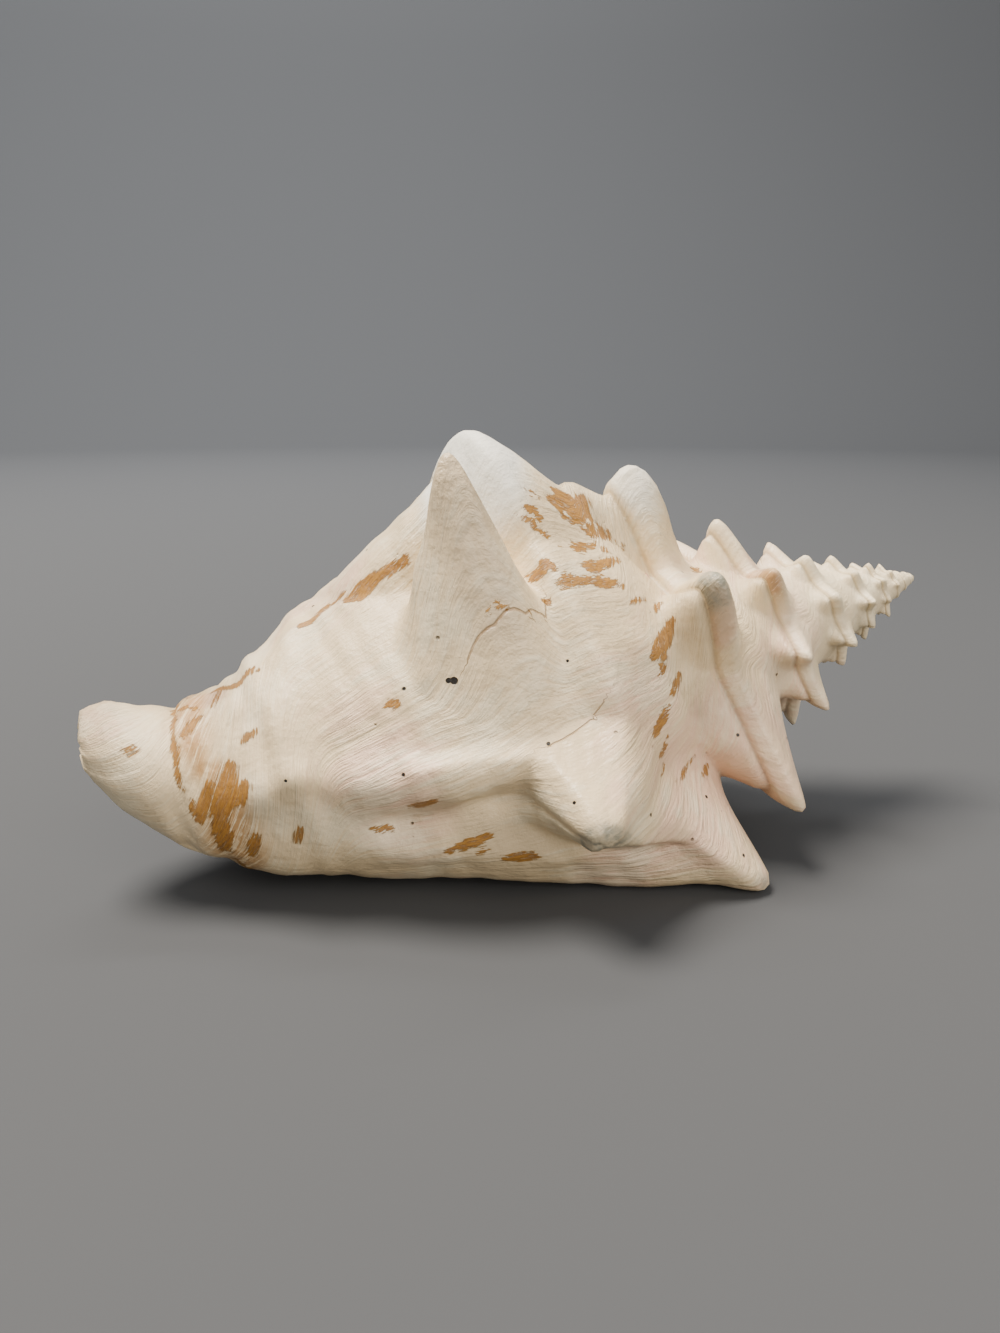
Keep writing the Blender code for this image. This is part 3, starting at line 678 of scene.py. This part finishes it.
    # The rounded rim between both faces of the lip.
    outer_rim, inner_rim = lip[-1], edge[-1]
    beyond = surface(LIP_ANGLE, rows, 1.02, plain=True) - surface(LIP_ANGLE, rows, 0.98, plain=True)
    beyond /= np.maximum(np.linalg.norm(beyond, axis=-1, keepdims=True), 1e-9)
    found = np.array([mesh.points[k] for k in outer_rim]), np.array([mesh.points[k] for k in inner_rim])
    nose_points = 0.5 * (found[0] + found[1]) + beyond * 0.45 * RIM * thickness(rows)[:, None]
    nose = mesh.add(nose_points[1:-1], LIP_ANGLE, rows[1:-1], 1.0, 0.5)
    nose = np.concatenate([outer_rim[:1], nose, outer_rim[-1:]])
    mesh.quads(np.stack([outer_rim, nose, inner_rim], 0))

    # The blind end of the way in.
    facing = np.round(np.linspace(0, side.shape[1] - 1, wall.shape[1])).astype(int)
    mesh.quads(np.stack([wall[-1], side[-1, facing]], 0))
    return mesh


def row_frame(points):
    """From the shell's axes to the resting position, filling the frame's box."""
    tilt = math.radians(AXIS_TILT)
    axis = np.array([math.cos(tilt), 0.0, math.sin(tilt)])
    top = np.array([-math.sin(tilt), 0.0, math.cos(tilt)])
    far = np.array([0.0, 1.0, 0.0])
    placed = (points[:, 0:1] * top + points[:, 1:2] * far - points[:, 2:3] * axis) * SCALE
    return fit_box(placed)


def fit_box(points):
    """Stretch points by a hair so that they fill the frame's box and never leave it."""
    low, high = points.min(0), points.max(0)
    box_low, box_high = np.array(BOX_LOW), np.array(BOX_HIGH)
    return box_low + (points - low) / (high - low) * (box_high - box_low)


def spots(places, table):
    """Soft round spots, as a value from 0 to 1."""
    total = np.zeros(len(places))
    for angle, row, radius, strength in table:
        arc, down = across_and_down(places[:, 0], places[:, 1], (angle, row))
        total = np.maximum(total, strength * smooth(1.35 - np.hypot(arc, down) / radius))
    return total


def patches(places, table):
    """How deep each vertex lies in the patches, in millimetres, and less than 0 outside."""
    total = np.full(len(places), -20.0)
    for first, last, half_width in table:
        away, share, side = beside(places[:, 0], places[:, 1], first, last)
        wide = half_width * (0.55 + 0.45 * np.sin(math.pi * np.clip(share, 0.08, 0.92)))
        total = np.maximum(total, wide - away)
    return total


def pit_points(data, places):
    """The points of the surface where the listed pits lie, each with its radius in metres."""
    points = vertex_array(data)
    found = []
    for angle, row, radius in PITS:
        arc, down = across_and_down(places[:, 0], places[:, 1], (angle, row))
        nearest = np.argmin(np.hypot(arc, down) + 100.0 * places[:, 3])
        found.append((tuple(points[nearest].tolist()), radius * SCALE))
    return found


def crack_side(places):
    """Signed distance from the nearest crack in millimetres."""
    nearest = np.full(len(places), 1e3)
    total = np.full(len(places), 20.0)
    for line in CRACKS:
        for first, last in zip(line[:-1], line[1:]):
            away, share, side = beside(places[:, 0], places[:, 1], first, last)
            closer = away < nearest
            nearest = np.where(closer, away, nearest)
            total = np.where(closer, np.sign(side) * away, total)
    return np.clip(total, -20.0, 20.0)


def growth_lines(angle, row, share):
    """The growth line that each place lies on, in millimetres. The lines lean over near the suture and the canal."""
    down = path(row)
    near_canal = 3.2 * np.maximum(0.0, down - path(1.50)) * smooth((down - path(1.50)) / 25.0)
    near_suture = 1.6 * np.maximum(0.0, path(0.45) - down) * smooth((path(0.45) - down) / 12.0)
    lean = np.where(row <= 1.0, size(angle), 1.0) * (0.15 * down - near_suture) + near_canal
    return grown(angle) + share * curve(LIP_PATH, 1, row) + lean


def seam(places):
    """The groove between two whorls: 1 in its middle and 0 beside it."""
    angle, row = places[:, 0], places[:, 1]
    away = np.where(angle < LIP_ANGLE - 360.0, path(1.0) - path(row), 20.0)
    away = np.where(row <= 1.0, np.minimum(path(row) - path(0.0), away), 20.0)
    return np.clip(1.0 - away / SEAM_WIDTH, 0.0, 1.0) * (1.0 - places[:, 3])


def relief(places):
    """Height of the growth ridges over the smooth surface, in millimetres."""
    angle, row, share, inside = places.T
    s = np.where(row <= 1.0, size(angle), 1.0)
    lines = growth_lines(angle, row, share)
    down = path(row)
    steps = 0.16 * wander(lines / 5.0, 1.0) + 0.10 * wander(lines / 2.1, 2.0)
    swells = 0.50 * wander(lines / 13.0 + 0.4 * wander(down / 17.0, 8.0), 9.0) * wander(down / 12.0, 7.0)
    cords = 0.20 * wander(down / 2.6 + 0.25 * wander(lines / 21.0, 5.0), 3.0) * smooth((row - 0.9) / 0.2)
    lumps = 0.55 * wander(lines / 15.0 + down / 19.0, 4.0) * wander(down / 11.0, 6.0)
    canal = smooth((row - 1.55) / 0.2)
    outer = (steps * (0.7 + 0.3 * wander(down / 9.0, 7.0)) * (1.0 - 0.4 * canal) + swells + cords + lumps)
    pinch = smooth(row / 0.12) * np.where(row > 1.0, 1.0, smooth((1.0 - row) / 0.08))
    outer = outer * np.minimum(1.0, 1.1 * s) * (0.35 + 0.65 * pinch)
    outer = outer - SEAM_DEPTH * s * seam(places)
    outer = outer + TIP_DEPTH * spots(places, WORN_TIPS) * wander(lines / 1.7, 11.0) * wander(down / 1.5 + lines / 4.0, 12.0)
    for line, height, width in EDGES:
        away = np.min([beside(angle, row, a, b)[0] for a, b in zip(line[:-1], line[1:])], axis=0)
        outer = outer + height * np.clip(1.0 - away / width, 0.0, 1.0) ** 1.5
    return outer * (1.0 - inside)


def raise_relief(data, places, share):
    """Move each vertex out along its normal by the relief there."""
    normals = np.zeros(len(data.vertices) * 3, np.float32)
    data.vertex_normals.foreach_get("vector", normals)
    moved = vertex_array(data) + normals.reshape(-1, 3) * (relief(places) * share * SCALE)[:, None]
    data.vertices.foreach_set("co", fit_box(moved).astype(np.float32).ravel())
    data.update()


def grow_shell(sizes):
    """The shell's mesh with all that its material reads from it."""
    built = shell_mesh()
    used = sorted({c for face in built.faces for c in face})
    number = {c: n for n, c in enumerate(used)}
    faces = [[number[c] for c in face] for face in built.faces]
    places = np.array(built.places)[used]
    data = bpy.data.meshes.new("shell_surface")
    data.from_pydata(row_frame(np.array(built.points)[used]).tolist(), [], faces)
    corner = np.array(built.corners, float)
    share = places[[c for face in faces for c in face], 2]
    lines = growth_lines(corner[:, 0], corner[:, 1], share)
    down = path(corner[:, 1]) * np.where(corner[:, 1] <= 1.0, size(corner[:, 0]), 1.0)
    growth = data.attributes.new("growth", "FLOAT_VECTOR", "CORNER")
    growth.data.foreach_set("vector", np.stack([lines, down, corner[:, 1]], -1).astype(np.float32).ravel())
    outside = 1.0 - places[:, 3]
    fields = {
        "inside": places[:, 3],
        "ochre": patches(places, OCHRE) - 30.0 * places[:, 3],
        "wash": patches(places, WASH) - 30.0 * places[:, 3],
        "chalk": spots(places, CHALK) * outside,
        "stain": spots(places, STAINS) * outside,
        "blush": spots(places, BLUSH) * outside,
        # Where tan and painted shade darken the listed faces.
        "shade": spots(places, TAN_AND_PAINTED_SHADE) * outside,
        "seam": seam(places),
        "tip": spots(places, WORN_TIPS) * outside,
        "crack": crack_side(places),
        "age": size(places[:, 0]),
    }
    for name, values in fields.items():
        field = data.attributes.new(name, "FLOAT", "POINT")
        field.data.foreach_set("value", values.astype(np.float32))
    tidy = bmesh.new()
    tidy.from_mesh(data)
    bmesh.ops.recalc_face_normals(tidy, faces=tidy.faces)
    tidy.to_mesh(data)
    tidy.free()
    raise_relief(data, places, sizes.relief)
    return data, pit_points(data, places)


def vertex_array(data):
    """The vertices of a mesh as an array."""
    found = np.zeros(len(data.vertices) * 3, np.float32)
    data.vertices.foreach_get("co", found)
    return found.reshape(-1, 3).astype(float)


class Value:
    """A number that varies over the surface. Sums of values add Math nodes."""

    def __init__(self, shader, socket):
        self.shader = shader
        self.socket = socket

    def maths(self, operation, *others):
        """One Math node on this value and others."""
        inputs = {n: other for n, other in enumerate((self,) + others)}
        return self.shader.node("ShaderNodeMath", {"operation": operation}, inputs).value(0)

    def __add__(self, other):
        return self.maths("ADD", other)

    def __radd__(self, other):
        return self.maths("ADD", other)

    def __sub__(self, other):
        return self.maths("SUBTRACT", other)

    def __rsub__(self, other):
        return self.shader.node("ShaderNodeMath", {"operation": "SUBTRACT"}, {0: other, 1: self}).value(0)

    def __mul__(self, other):
        return self.maths("MULTIPLY", other)

    def __rmul__(self, other):
        return self.maths("MULTIPLY", other)

    def ease(self, low, high):
        """A soft step from 0 at low to 1 at high."""
        settings = {"interpolation_type": "SMOOTHSTEP"}
        inputs = {"Value": self, "From Min": low, "From Max": high}
        return self.shader.node("ShaderNodeMapRange", settings, inputs).value("Result")


class Node:
    """A node whose outputs can be read as values."""

    def __init__(self, shader, made):
        self.shader = shader
        self.made = made

    def value(self, name):
        """One output."""
        return Value(self.shader, self.made.outputs[name])


class Shader:
    """The nodes of one material."""

    def __init__(self, name):
        self.material = bpy.data.materials.new(name)
        self.material.use_nodes = True
        self.tree = self.material.node_tree
        self.tree.nodes.clear()

    def node(self, kind, settings=None, inputs=None):
        """Add a node: its settings first, then the values or links of its sockets."""
        made = self.tree.nodes.new(kind)
        for name, setting in (settings or {}).items():
            setattr(made, name, setting)
        for name, given in (inputs or {}).items():
            if isinstance(given, Value):
                self.tree.links.new(given.socket, made.inputs[name])
            else:
                made.inputs[name].default_value = given
        return Node(self, made)

    def attribute(self, name, output="Fac"):
        """A value kept on the mesh."""
        return self.node("ShaderNodeAttribute", {"attribute_name": name}).value(output)

    def noise(self, place, scale, detail=3.0, roughness=0.55):
        """Noise from 0 to 1."""
        inputs = {"Vector": place, "Scale": scale, "Detail": detail, "Roughness": roughness}
        return self.node("ShaderNodeTexNoise", {}, inputs).value("Fac")

    def distance(self, place, point_place):
        """Distance of each place from one point."""
        inputs = {0: place, 1: point_place}
        return self.node("ShaderNodeVectorMath", {"operation": "DISTANCE"}, inputs).value("Value")

    def mix(self, factor, first, second):
        """From the first colour at 0 to the second at 1."""
        inputs = {0: factor, 6: first, 7: second}
        return self.node("ShaderNodeMix", {"data_type": "RGBA"}, inputs).value(2)

    def split(self, vector):
        """The three parts of a vector."""
        parts = self.node("ShaderNodeSeparateXYZ", {}, {"Vector": vector})
        return parts.value("X"), parts.value("Y"), parts.value("Z")

    def join(self, x, y, z):
        """A vector from three values."""
        return self.node("ShaderNodeCombineXYZ", {}, {"X": x, "Y": y, "Z": z}).value("Vector")

    def bump(self, height, distance):
        """A normal raised by a height."""
        inputs = {"Height": height, "Distance": distance, "Strength": 1.0}
        return self.node("ShaderNodeBump", {}, inputs).value("Normal")

    def finish(self, inputs):
        """The surface and the output."""
        surface_node = self.node("ShaderNodeBsdfPrincipled", {}, inputs)
        self.node("ShaderNodeOutputMaterial", {}, {"Surface": surface_node.value("BSDF")})
        return self.material


def colour(values):
    """A colour socket's four numbers."""
    return (values[0], values[1], values[2], 1.0)


def shell_material(colours, pit_places):
    """Weathered shell: satin cream outside with ochre streaks, glossy pink inside."""
    shader = Shader("shell_cream")
    growth = shader.attribute("growth", "Vector")
    place = shader.node("ShaderNodeTexCoord").value("Object")
    lengthwise, down, row = shader.split(growth)
    inside = shader.attribute("inside")
    age = shader.attribute("age")

    # Growth lines are drawn out along the edge that the shell had when it was smaller.
    sway = shader.noise(place, 22.0, 2.0)
    lines = lengthwise + 9.0 * sway
    flow = shader.join(lines, down * 0.10, row * 0.4)
    fine_lines = shader.noise(flow, 0.95, 4.0, 0.62)
    broad_lines = shader.noise(flow, 0.26, 3.0)
    clouds = shader.noise(place, 14.0, 3.0)
    mottle = shader.noise(place, 60.0, 4.0)
    grain = shader.noise(place, 520.0, 3.0, 0.6)

    # Cream, pale pink and white areas.
    pink = (clouds + 0.25 * (broad_lines - 0.5)).ease(0.48, 0.62)
    skin = shader.mix(pink, colour(colours.cream), colour(colours.pink))
    pale = (mottle + 0.7 * (fine_lines - 0.5)).ease(0.46, 0.66)
    skin = shader.mix(pale * 0.60, skin, colour(colours.white))
    freckles = shader.noise(place, 300.0, 3.0, 0.6)
    skin = shader.mix(freckles.ease(0.56, 0.72) * 0.35, skin, colour(colours.straw))
    older = 1.0 - age.ease(0.35, 0.75)
    skin = shader.mix(older * 0.45, skin, colour(colours.white))
    chalk = (shader.attribute("chalk") + 0.5 * (mottle - 0.5)).ease(0.25, 0.75)
    skin = shader.mix(chalk * 0.85, skin, colour(colours.chalk))
    blush = (shader.attribute("blush") + 0.6 * (mottle - 0.5)).ease(0.30, 0.70)
    skin = shader.mix(blush * 0.55, skin, colour(colours.blush))

    # Painted shade, partly the shell's own tan: the listed faces turned from the light and the valley under the fold
    # are darkened towards tan.
    bands = shader.noise(shader.join(lines, down * 0.05, row), 0.55, 3.0, 0.6)
    tan_and_painted_shade = shader.attribute("shade").ease(0.10, 0.90) * (0.45 + 1.1 * (bands - 0.30))
    skin = shader.mix(tan_and_painted_shade * 0.75, skin, colour(colours.shade))

    # What is left of the brown outer skin, torn into streaks.
    tatter = shader.noise(shader.join(lines * 0.9, down * 0.22, row), 0.42, 4.0, 0.62)
    frayed = shader.noise(shader.join(lines * 2.0, down * 0.35, row), 1.3, 4.0, 0.68)
    torn = shader.attribute("ochre") + 4.2 * (tatter - 0.46) + 3.0 * (frayed - 0.50)
    patch = torn.ease(0.0, 0.28) * (0.55 + 0.45 * frayed.ease(0.36, 0.46))
    shade = shader.mix(frayed.ease(0.40, 0.60), colour(colours.brown), colour(colours.ochre))
    veil = (shader.attribute("wash") * 0.16).ease(-0.3, 0.8) * (tatter + 0.9 * (frayed - 0.5)).ease(0.35, 0.50)
    skin = shader.mix(veil * 0.90, skin, colour(colours.tan))
    skin = shader.mix(patch * 0.95, skin, shade)

    # Stains, cracks, pits, and painted shade in the groove between the whorls.
    stain = (shader.attribute("stain") + 0.9 * (mottle - 0.5)).ease(0.30, 0.80) * (0.55 + 0.45 * freckles.ease(0.4, 0.6))
    skin = shader.mix(stain * 0.80, skin, colour(colours.stain))
    crack_line = (shader.attribute("crack") + 1.6 * (mottle - 0.5)).maths("ABSOLUTE")
    crack = (1.0 - crack_line.ease(0.04, 0.20)) * (1.0 - inside)
    skin = shader.mix(crack * 0.55, skin, colour(colours.brown))
    cells = shader.node("ShaderNodeTexVoronoi", {}, {"Vector": place, "Scale": 130.0}).value("Distance")
    sparse = shader.noise(place, 33.0, 2.0).ease(0.52, 0.60)
    pits = (1.0 - cells.ease(0.03, 0.075)) * sparse * (1.0 - inside)
    ragged = 0.55 + 0.90 * grain
    for point_place, radius in pit_places:
        away = shader.distance(place, point_place)
        pits = pits.maths("MAXIMUM", 1.0 - (away * (1.0 / radius) * ragged).ease(0.75, 1.0))
    skin = shader.mix(pits, skin, colour(colours.dirt_and_shade))
    # Painted shade: the groove between the whorls is darkened in mottled places.
    seam_painted_shade = (shader.attribute("seam") * 1.3 + 1.2 * (mottle - 0.55)).ease(0.35, 0.95)
    skin = shader.mix(seam_painted_shade * 0.14, skin, colour(colours.dirt_and_shade))

    # The glossy inside.
    lining = shader.mix(clouds.ease(0.35, 0.7), colour(colours.lining), colour(colours.lining_edge))
    gloss = inside.ease(0.30, 0.75)
    skin = shader.mix(gloss, skin, lining)

    rough = 0.40 + 0.22 * (mottle - 0.5) + 0.18 * chalk + 0.12 * patch
    roughness = rough * (1.0 - gloss) + 0.20 * gloss
    worn = shader.noise(place, 38.0, 2.0).ease(0.44, 0.62)
    wear = shader.noise(place, 170.0, 4.0, 0.62)
    lines_height = (0.28 + 0.60 * worn) * fine_lines + 0.30 * broad_lines
    height = lines_height + 0.62 * wear + 0.16 * grain - 0.8 * pits - 0.30 * crack + 0.15 * patch
    height = height + 0.9 * shader.attribute("tip") * shader.noise(place, 420.0, 3.0)
    height = height * (1.0 - 0.92 * gloss)
    return shader.finish({
        "Base Color": skin,
        "Roughness": roughness,
        "Normal": shader.bump(height, 0.0010),
        "Subsurface Weight": 0.0,
        "IOR": 1.5,
    })


def floor_material(tone):
    """Plain matte floor."""
    shader = Shader("plain_floor")
    return shader.finish({"Base Color": colour(tone), "Roughness": 0.95, "Specular IOR Level": 0.1})


class ShellSizes(bpy.types.PropertyGroup):
    """Sizes of the shell's fine surface."""

    relief: FloatProperty(
        name="Relief", description="Height of the growth ridges, as a share of the usual", default=1.0, min=0.0, max=3.0,
    )


class ShellColours(bpy.types.PropertyGroup):
    """Colours of the shell."""

    cream: FloatVectorProperty(
        name="Cream", description="Main colour of the outside", default=(0.800, 0.625, 0.380), subtype="COLOR",
    )
    pink: FloatVectorProperty(
        name="Pink", description="Pale pink areas of the outside", default=(0.800, 0.545, 0.375), subtype="COLOR",
    )
    white: FloatVectorProperty(
        name="White", description="Bleached areas and the spire", default=(0.860, 0.755, 0.530), subtype="COLOR",
    )
    chalk: FloatVectorProperty(
        name="Chalk", description="Worn knuckle beside the lip", default=(0.850, 0.835, 0.750), subtype="COLOR",
    )
    straw: FloatVectorProperty(
        name="Straw", description="Fine yellowish freckles", default=(0.700, 0.520, 0.300), subtype="COLOR",
    )
    # Partly the shell's own tan, partly painted shade on faces turned from the light.
    shade: FloatVectorProperty(
        name="Shade", description="Darker tan faces", default=(0.480, 0.370, 0.240), subtype="COLOR",
    )
    tan: FloatVectorProperty(
        name="Tan", description="Thin washes of the old skin", default=(0.430, 0.225, 0.075), subtype="COLOR",
    )
    blush: FloatVectorProperty(
        name="Blush", description="Pink and tan faces of the older whorls", default=(0.640, 0.380, 0.260), subtype="COLOR",
    )
    ochre: FloatVectorProperty(
        name="Ochre", description="Light part of the streaks", default=(0.400, 0.185, 0.022), subtype="COLOR",
    )
    brown: FloatVectorProperty(
        name="Brown", description="Dark part of the streaks", default=(0.250, 0.095, 0.010), subtype="COLOR",
    )
    stain: FloatVectorProperty(
        name="Stain", description="Grey-green stains on worn tips", default=(0.230, 0.240, 0.195), subtype="COLOR",
    )
    # Dirt in the pits, and painted shade in the grooves between the whorls.
    dirt_and_shade: FloatVectorProperty(
        name="Dirt", description="Dirt in pits and creases", default=(0.016, 0.013, 0.010), subtype="COLOR",
    )
    lining: FloatVectorProperty(
        name="Lining", description="Glossy inside", default=(0.800, 0.400, 0.330), subtype="COLOR",
    )
    lining_edge: FloatVectorProperty(
        name="Lining edge", description="Paler part of the inside", default=(0.860, 0.560, 0.440), subtype="COLOR",
    )


class StageSettings(bpy.types.PropertyGroup):
    """Floor, light and camera."""

    floor: FloatVectorProperty(
        name="Floor", description="Colour of the floor", default=(0.076, 0.078, 0.081), subtype="COLOR",
    )
    lens: FloatProperty(
        name="Lens", description="Focal length for a 36 mm sensor", default=27.007, min=10.0, max=200.0, unit="CAMERA",
    )


class ConchShell(bpy.types.Operator):
    """Grow the shell over its solid"""

    bl_idname = "mesh.conch_shell"
    bl_label = "Conch shell"

    def execute(self, context):
        sizes, colours = context.scene.shell_sizes, context.scene.shell_colours
        data, pits = grow_shell(sizes)
        data.materials.append(shell_material(colours, pits))
        data.shade_smooth()
        shell = bpy.data.objects.new("conch_shell_surface", data)
        context.scene.collection.objects.link(shell)
        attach(shell, "root")
        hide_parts("conch_shell")
        return {"FINISHED"}


class Stage(bpy.types.Operator):
    """Floor, light and camera"""

    bl_idname = "scene.conch_stage"
    bl_label = "Stage"

    def execute(self, context):
        settings = context.scene.stage_settings
        build_floor(context, settings)
        build_lights(context)
        build_camera(context, settings)
        return {"FINISHED"}


FLOOR_RADIUS = 9.0 * LENGTH
WALL_RADIUS = 14.0 * LENGTH
WALL_HEIGHT = 6.5 * LENGTH
CAMERA_PLACE = (-0.08632, -0.26444, 0.11972)
CAMERA_TURN = (74.7, 0.0, -17.0)
# Soft lights: name, place, size, power, colour and the point that each is aimed at.
LIGHTS = [
    ("key_light", (-0.55, 0.15, 1.60), 0.8, 74.0, (1.00, 0.93, 0.84), (0.00, 0.00, 0.04)),
    ("front_light", (0.40, -1.70, 0.80), 1.6, 30.0, (1.00, 0.93, 0.84), (0.00, 0.00, 0.04)),
    ("wall_light", (0.00, 1.10, 2.20), 1.4, 150.0, (1.00, 1.00, 1.00), (0.00, 3.20, 0.80)),
]


def build_floor(context, settings):
    """A plain round floor that curves up into a low wall far behind the shell."""
    rings = [(FLOOR_RADIUS, 0.0)]
    bend_radius = WALL_RADIUS - FLOOR_RADIUS
    for step in range(1, 17):
        turn = math.pi / 2.0 * step / 16.0
        rings.append((FLOOR_RADIUS + bend_radius * math.sin(turn), bend_radius * (1.0 - math.cos(turn))))
    rings.append((WALL_RADIUS, WALL_HEIGHT))
    turns = [math.radians(angle) for angle in range(0, 360, 5)]
    points = [(r * math.cos(t), r * math.sin(t), z) for r, z in rings for t in turns] + [(0.0, 0.0, 0.0)]
    count = len(turns)
    faces = [(k, (k + 1) % count, len(points) - 1) for k in range(count)]
    for ring in range(len(rings) - 1):
        for k in range(count):
            following = (k + 1) % count
            below, above = ring * count, (ring + 1) * count
            faces.append((below + k, above + k, above + following, below + following))
    data = bpy.data.meshes.new("floor")
    data.from_pydata(points, [], faces)
    data.materials.append(floor_material(settings.floor))
    data.shade_smooth()
    floor = bpy.data.objects.new("floor", data)
    context.scene.collection.objects.link(floor)


def build_lights(context):
    """Large soft lamps and a pale sky."""
    for name, place, width, power, tone, aim in LIGHTS:
        lamp = bpy.data.lights.new(name, "AREA")
        lamp.shape = "DISK"
        lamp.size = width
        lamp.energy = power
        lamp.color = tone
        holder = bpy.data.objects.new(name, lamp)
        context.scene.collection.objects.link(holder)
        holder.location = place
        way = np.array(aim) - np.array(place)
        holder.rotation_euler = (
            math.acos(-way[2] / np.linalg.norm(way)),
            0.0,
            math.atan2(-way[0], way[1]),
        )
    world = bpy.data.worlds.new("pale_sky")
    world.use_nodes = True
    sky = world.node_tree.nodes["Background"]
    sky.inputs["Color"].default_value = (0.80, 0.82, 0.86, 1.0)
    sky.inputs["Strength"].default_value = 0.75
    context.scene.world = world


def build_camera(context, settings):
    """The camera at the height, distance and angle of the view."""
    data = bpy.data.cameras.new("camera")
    data.lens = settings.lens
    data.sensor_width = 36.0
    data.clip_start = 0.01
    camera = bpy.data.objects.new("camera", data)
    context.scene.collection.objects.link(camera)
    camera.location = CAMERA_PLACE
    camera.rotation_euler = [math.radians(turn) for turn in CAMERA_TURN]
    context.scene.camera = camera


class ShellPanel(bpy.types.Panel):
    """Conch shell"""

    bl_idname = "VIEW3D_PT_conch_shell"
    bl_label = "Conch shell"
    bl_space_type = "VIEW_3D"
    bl_region_type = "UI"
    bl_category = "Conch shell"

    def draw(self, context):
        for group in (context.scene.shell_sizes, context.scene.shell_colours, context.scene.stage_settings):
            for name in group.__annotations__:
                self.layout.prop(group, name)
        self.layout.operator(ConchShell.bl_idname)
        self.layout.operator(Stage.bl_idname)


CLASSES = (ShellSizes, ShellColours, StageSettings, ConchShell, Stage, ShellPanel)


def register():
    """Make the settings, operators and panel known."""
    for kind in CLASSES:
        bpy.utils.register_class(kind)
    bpy.types.Scene.shell_sizes = PointerProperty(type=ShellSizes)
    bpy.types.Scene.shell_colours = PointerProperty(type=ShellColours)
    bpy.types.Scene.stage_settings = PointerProperty(type=StageSettings)


def unregister():
    """Forget them again."""
    del bpy.types.Scene.stage_settings
    del bpy.types.Scene.shell_colours
    del bpy.types.Scene.shell_sizes
    for kind in reversed(CLASSES):
        bpy.utils.unregister_class(kind)


def main():
    """Build everything in order."""
    register()
    bpy.ops.mesh.conch_shell()
    bpy.ops.scene.conch_stage()


if __name__ == "__main__":
    main()
